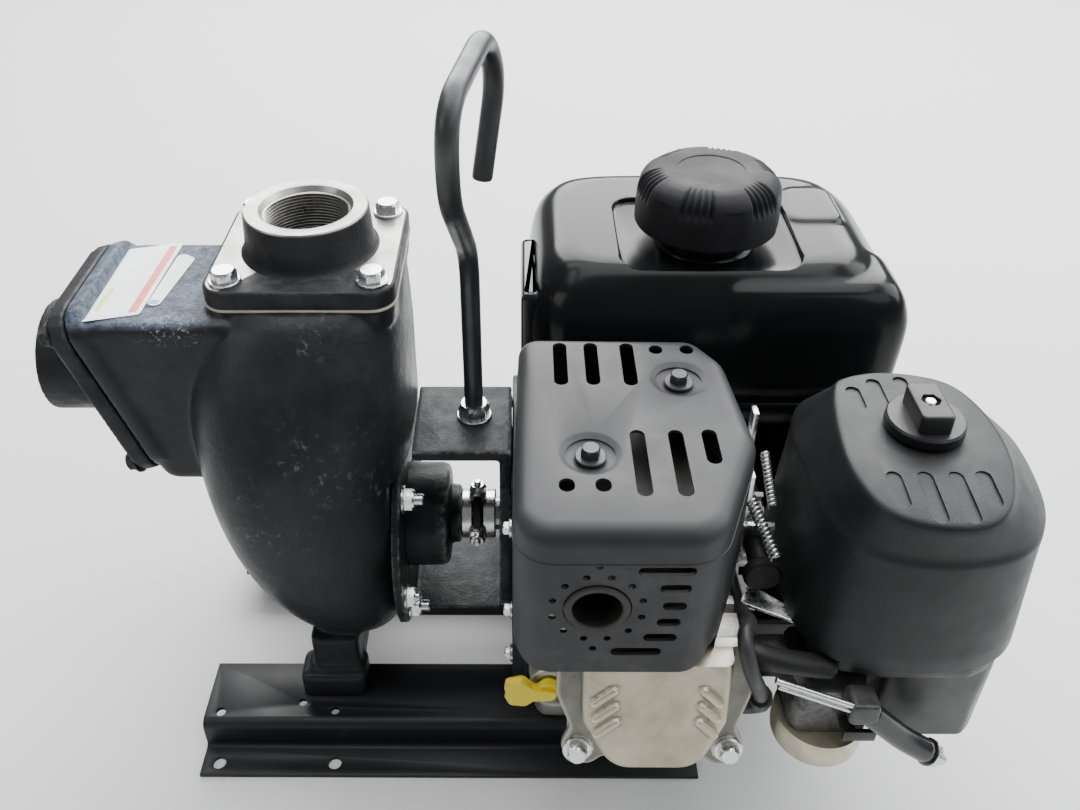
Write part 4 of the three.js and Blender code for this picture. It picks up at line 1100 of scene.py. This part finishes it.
# ------------------------------------------------------------------ air cleaner
# Each row lists twelve spots round the cover: left side rear to front, front, right side, rear.
RIM = [(378, -90), (376.5, -128), (379, -164), (397, -190), (438, -198.5), (478, -191),
       (499.5, -169), (509.8, -135), (509.8, -90), (491.5, -60), (440, -48.6), (393, -60)]
CREASE = [(383, -90), (383.5, -128), (386.5, -162), (403, -187), (438, -195), (475, -187.5),
          (495, -167), (504.5, -135), (504, -92), (484, -62.5), (440, -53), (397.5, -62)]
PLATEAU = [(401, -90), (394.5, -128), (394.5, -160), (405.5, -184), (430, -193), (455, -190),
           (470, -173), (479.5, -140), (477.5, -105), (465, -82), (436, -73.5), (411.5, -78)]
PLATEAU_Z, FRONT_DROP = 321.4, 4.0


def plateau_drop(y):
    """How far the top of the cover falls towards the front."""
    return FRONT_DROP * min(1.0, max(0.0, (-150 - y) / 40)) ** 1.5


def falling(x, y, z):
    """A point whose height is counted from the cover's own falling top."""
    return at(x, y, z - plateau_drop(y))


def cover_ring(spots, z, drop=0.0, wall=0.0):
    """A closed smooth curve through the spots, at one height or falling towards the front."""
    count = len(spots)
    centre = Vector((442, -125))
    ring = []
    for i in range(count):
        p0, p1, p2, p3 = (Vector(spots[(i + k) % count]) for k in (-1, 0, 1, 2))
        for step in range(14):
            t = step / 14
            p = 0.5 * (2 * p1 + (p2 - p0) * t + (2 * p0 - 5 * p1 + 4 * p2 - p3) * t * t
                       + (3 * p1 - p0 - 3 * p2 + p3) * t ** 3)
            p = p + (centre - p).normalized() * wall
            ring.append(at(p.x, p.y, z - drop * plateau_drop(p.y)))
    return ring


def between_rings(first, second, amount):
    return [(a[0] + (b[0] - a[0]) * amount, a[1] + (b[1] - a[1]) * amount)
            for a, b in zip(first, second)]


def cover_skin(name, wall):
    steps = [(RIM, 214, 0.0, 0.6), (RIM, 215.2, 0.0, 0.0)]
    steps += [(between_rings(RIM, CREASE, k / 6), 215.2 + 70 * k / 6, 0.0, 0.0)
              for k in (1, 2, 3, 4, 5)]
    steps += [(CREASE, 289, 0.0, 0.0), (CREASE, 291.4, 0.0, 0.3), (CREASE, 293, 0.05, 1.2)]
    steps += [(between_rings(CREASE, PLATEAU, k / 6), 293.6 + 24.2 * k / 6, k / 6, 1.6 * (1 - k / 6))
              for k in (1, 2, 3, 4, 5)]
    steps += [(PLATEAU, 318.4, 1.0, 0.0), (PLATEAU, 320.0, 1.0, 0.8), (PLATEAU, 321.0, 1.0, 2.0),
              (PLATEAU, PLATEAU_Z, 1.0, 3.8), (PLATEAU, PLATEAU_Z, 1.0, 16.0)]
    if wall:
        steps = [(RIM, 210, 0.0, 0.0)] + steps[2:-2]
        steps = [(spots, z - (wall if z > 291 else 0), drop, inward + wall)
                 for spots, z, drop, inward in steps]
    return outward(loft(name, [cover_ring(spots, z, drop, inward)
                               for spots, z, drop, inward in steps]))


cleaner = cover_skin("air_cleaner_shell", 0.0)
boolean(cleaner, cover_skin("hollow", 2.5))
GROOVES = [(413.5, -169.5, 23), (429.0, -174.0, 32), (444.5, -174.0, 32), (458.0, -169.0, 23),
           (411.5, -99, 20), (424.6, -95, 26), (440.2, -93, 26), (455, -96, 20)]
for x, y, length in GROOVES:
    half = length / 2 - 3.6
    groove = prism("groove", round_ended(x, y - half, x, y + half, 8.0), PLATEAU_Z - 1.1,
                   PLATEAU_Z + 5, shape=falling)
    island = prism("island", round_ended(x, y - half, x, y + half, 6.6), PLATEAU_Z - 1.9,
                   PLATEAU_Z - 0.3, top=0.4, shape=falling)
    boolean(cleaner, outward(groove))
    cleaner = join("air_cleaner_shell", [cleaner, outward(island)])
piece(smooth(cleaner, 32), "pebble", "filter_cover", ["air_cleaner_cover"])
KNOB_X, KNOB_Y = 440.0, -124.0
knob_disc = lathe("disc", [(3.8, 322.5), (20.2, 322.5), (20.6, 323.4), (20.4, 327.6), (19.4, 328.8),
                           (3.8, 329.0)], at(KNOB_X, KNOB_Y, 0), "z", 72)
knob_bar = prism("bar", outline(rectangle(KNOB_X - 8.6, KNOB_X + 8.6, KNOB_Y - 15, KNOB_Y + 15), 3),
                 327, 339.8, top=1.6)
boolean(knob_bar, drill("bore", KNOB_X, KNOB_Y, 330, 3.8, 30))
boolean(knob_bar, outward(lathe("sink", [(0, 337.6), (5.4, 337.6), (5.4, 350), (0, 350)],
                                at(KNOB_X, KNOB_Y, 0), "z", 6)))
knob = outward(join("cleaner_knob_moulding", [knob_disc, knob_bar]))
piece(smooth(knob, 35), "plastic", "filter_knob", ["air_cleaner_knob"])
stud = lathe("cleaner_stud_turned", [(0, 208), (3, 208), (3, 338.6), (2.4, 339.4), (0, 339.6)],
             at(KNOB_X, KNOB_Y, 0), "z", 24)
piece(smooth(outward(stud), 35), "zinc", stands_for=["air_cleaner_stud"])
cleaner_base = cad_copy("cleaner_base_moulding", "air_cleaner_base")
rim_cut = outward(loft("rim_cut", [cover_ring(RIM, 100, 0, 3.2), cover_ring(RIM, 240, 0, 3.2)]))
boolean(cleaner_base, rim_cut, "INTERSECT")
bevel(cleaner_base, 1.2, 3)
piece(smooth(cleaner_base, 40), "plastic", stands_for=["air_cleaner_base"])

# ------------------------------------------------------------------ carburettor
rounded_copy("carburettor_casting", "carburettor_body", "dark_alloy", 1.0)
BOWL_X, BOWL_Y = 401, -177
bowl = lathe("float_bowl_pressed", [(0, 132), (19, 132), (23.4, 133.4), (25.4, 136.4), (26, 140),
                                    (26, 150.6), (25.4, 152.6), (25.4, 154), (0, 154)],
             at(BOWL_X, BOWL_Y, 0), "z", 64)
piece(smooth(outward(bowl), 35), "yellow_zinc", stands_for=["float_bowl"])
hex_bolt("bowl_bolt", at(BOWL_X, BOWL_Y, 132.2), (0, 0, -1), 10.0, 3.0, 7.0)
for k, (start, end, radius) in enumerate((((361, -205, 218), (407, -205, 195.8), 1.7),
                                          ((363, -205, 213), (408, -205, 191), 1.5))):
    rod = tube(f"governor_rod_{k + 1}", rounded_route([start, end], 5, 6), radius, 16)
    piece(rod, "zinc")
block = prism("throttle_block", outline(rectangle(404, 420, 183, 199), 4), -208, -192, top=2,
              bottom=2, shape=facing)
piece(smooth(outward(block), 40), "dark_alloy")
drain = tube("overflow_tube", rounded_route([(415, -201, 187), (440, -201, 162), (456, -201, 150)],
                                            8, 4), 7.0, 24, 0.2)
piece(drain, "gloss")
hex_bolt("overflow_nut", at(456.6, -201, 149.5), (0.8, 0, -0.6), 12.5, 5.0, 8.0, stud=6.0)

# ------------------------------------------------------------------ blower and starter
rounded_copy("blower_moulding", "blower_housing", "pebble", 1.5, 3, 35)
recoil = bevel(cad_copy("recoil_moulding", "recoil_starter_housing"), 1.2, 3)
VENTS, VENT_CIRCLE, VENT_LENGTH, VENT_WIDTH = 20, 57, 26, 4.8
for k in range(VENTS):
    angle = 2 * math.pi * k / VENTS
    out = Vector((0, math.cos(angle), math.sin(angle)))
    middle = at(466, 0, SHAFT_Z) + out * VENT_CIRCLE * MM
    if middle.z >= at(0, 0, 195).z and middle.y <= at(0, -20, 0).y:
        continue
    side = Vector((1, 0, 0)).cross(out)
    vent = [[middle + Vector((dx * MM, 0, 0)) + out * a * MM + side * b * MM
             for a, b in rectangle(-VENT_LENGTH / 2, VENT_LENGTH / 2, -VENT_WIDTH / 2,
                                   VENT_WIDTH / 2)] for dx in (-26, 20)]
    boolean(recoil, outward(loft("vent", vent)))
piece(smooth(recoil, 30), "pebble", stands_for=["recoil_starter_housing"])
rounded_copy("starter_grip_moulding", "starter_grip", "rubber", 1.2, body="grip")

# ------------------------------------------------------------------ controls
rounded_copy("control_plate", "control_bracket", "zinc", 0.5, 2, 35)
rounded_copy("throttle_lever_pressed", "throttle_lever", "zinc", 0.5, 2, 35, "throttle")


def spring(name, start, end, radius, wire, turns):
    """A helix of round wire with twelve points for each turn."""
    start, end = at(*start), at(*end)
    along = end - start
    u = along.orthogonal().normalized()
    v = along.normalized().cross(u)
    count = turns * 12
    route = []
    for k in range(count + 1):
        angle = 2 * math.pi * k / 12
        spot = start + along * k / count + (u * math.cos(angle) + v * math.sin(angle)) * radius * MM
        route.append(tuple((spot - ORIGIN) / MM))
    return piece(tube(name, route, wire, 8), "zinc")


spring("governor_spring", (358, -110, 262), (368, -150, 250), 3.0, 0.7, 16)
spring("throttle_spring", (370, -90, 275), (370, -122, 262), 2.4, 0.6, 14)
plate_line = prism("control_tongue", outline([(352, -150), (384, -166), (388, -160), (360, -136)],
                                             3), 213.0, 215.0, top=0.6, bottom=0.6)
piece(smooth(outward(plate_line), 40), "zinc")
switch = lathe("stop_button", [(0, -146.8), (9.4, -146.8), (10.8, -145.6), (11, -142), (10, -140.4),
                               (6.2, -139.6), (6.2, -112.4), (0, -112.2)], at(364, 0, 231), "y",
               48)
piece(smooth(outward(switch), 35), "rubber", "switch", ["stop_switch"])
for body in ("choke", "fuel_valve"):
    rounded_copy(f"{body}_lever_moulding", f"{body}_lever", "plastic", 0.8, body=body)

# ------------------------------------------------------------------ ignition and hoses
LEAD = [(363.8, -181.5, 172.6), (358, -196, 196), (348, -203, 222), (344, -192, 238),
        (353.5, -174, 226), (353, -150, 207), (352, -97, 206)]
piece(tube("plug_lead", rounded_route(LEAD, 16, 3), 4.2, 24, 0.2), "grey_rubber",
      stands_for=["ignition_lead"])
HOSE = [(350, -168, 207), (348, -184, 214), (376, -187, 208.5), (398, -185, 203)]
piece(tube("breather_tube", rounded_route(HOSE, 14, 3), 6.6, 32, 0.2), "rubber",
      stands_for=["breather_hose"])
cast_copy("plug_boot_moulding", "spark_plug_boot", "grey_rubber", 0.7)

# ------------------------------------------------------------------ carried-over CAD nodes
CARRIED = {"suction_flap": "rubber", "impeller": "bronze", "pump_shaft": "steel",
           "crankshaft": "steel", "flywheel": "aluminium", "fuel_cap_gasket": "rubber",
           "air_filter_element": "foam", "spark_plug": "ceramic"}
for node, look in CARRIED.items():
    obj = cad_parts[node]
    obj.data.materials.clear()
    obj.data.materials.append(MAT[look])

# ------------------------------------------------------------------ floor, light and camera
FLOOR = 30.0
floor = make("floor", [(-FLOOR, -FLOOR, 0), (FLOOR, -FLOOR, 0), (FLOOR, FLOOR, 0),
                       (-FLOOR, FLOOR, 0)], [(0, 1, 2, 3)])
floor_material, floor_tree, floor_shader, floor_place = node_tree("studio_floor")
tone = noise(floor_tree, floor_place, 1.2, 2.0, 0.4)
floor_tree.links.new(mix_colour(floor_tree, tone, (0.56, 0.56, 0.56), (0.60, 0.60, 0.60)),
                     floor_shader.inputs["Base Color"])
floor_shader.inputs["Roughness"].default_value = 0.9
floor.data.materials.append(floor_material)


def area_light(name, place, aim, size, power, tint=(1, 1, 1)):
    data = bpy.data.lights.new(name, "AREA")
    data.shape = "RECTANGLE"
    data.size, data.size_y = size
    data.energy = power
    data.color = tint
    obj = bpy.data.objects.new(name, data)
    obj.location = place
    obj.rotation_euler = (Vector(aim) - Vector(place)).to_track_quat("-Z", "Y").to_euler()
    bpy.context.scene.collection.objects.link(obj)


CENTRE = (0.0, 0.0, 0.22)
area_light("overhead", (0.0, 0.25, 2.4), CENTRE, (2.6, 1.8), 80)
area_light("rear_softbox", (0.15, 2.1, 1.75), CENTRE, (3.4, 1.9), 250)
area_light("key", (-1.9, -1.0, 1.5), CENTRE, (1.0, 1.0), 10, (1.0, 0.99, 0.97))
area_light("right_softbox", (2.0, 0.5, 1.5), CENTRE, (1.8, 1.5), 60, (0.97, 0.985, 1.0))
area_light("fill", (1.6, -1.2, 1.9), CENTRE, (1.2, 1.2), 14, (0.97, 0.985, 1.0))
world = bpy.data.worlds.new("studio")
world.use_nodes = True
world.node_tree.nodes["Background"].inputs["Color"].default_value = (0.93, 0.95, 1.0, 1.0)
world.node_tree.nodes["Background"].inputs["Strength"].default_value = 0.28
bpy.context.scene.world = world

# The camera that was solved from the photo; its place is in layout millimetres.
CAMERA_AT = (228.436, -533.489, 661.047)
PITCH, YAW, ROLL = (math.radians(a) for a in (35.1449, -0.6050, -0.3467))
forward = Vector((math.sin(YAW) * math.cos(PITCH), math.cos(YAW) * math.cos(PITCH),
                  -math.sin(PITCH)))
level = Vector((math.cos(YAW), -math.sin(YAW), 0))
upright = level.cross(forward)
right = level * math.cos(ROLL) + upright * math.sin(ROLL)
up = -level * math.sin(ROLL) + upright * math.cos(ROLL)
camera = bpy.data.objects.new("camera", bpy.data.cameras.new("camera"))
camera.data.sensor_width = 36.0
camera.data.lens = 33.491
camera.data.shift_x = 0.02569
camera.data.shift_y = -0.05322
camera.data.clip_start = 0.05
camera.matrix_world = Matrix(((right.x, up.x, -forward.x, 0), (right.y, up.y, -forward.y, 0),
                              (right.z, up.z, -forward.z, 0), (0, 0, 0, 1)))
camera.location = at(*CAMERA_AT)
bpy.context.scene.collection.objects.link(camera)
bpy.context.scene.camera = camera
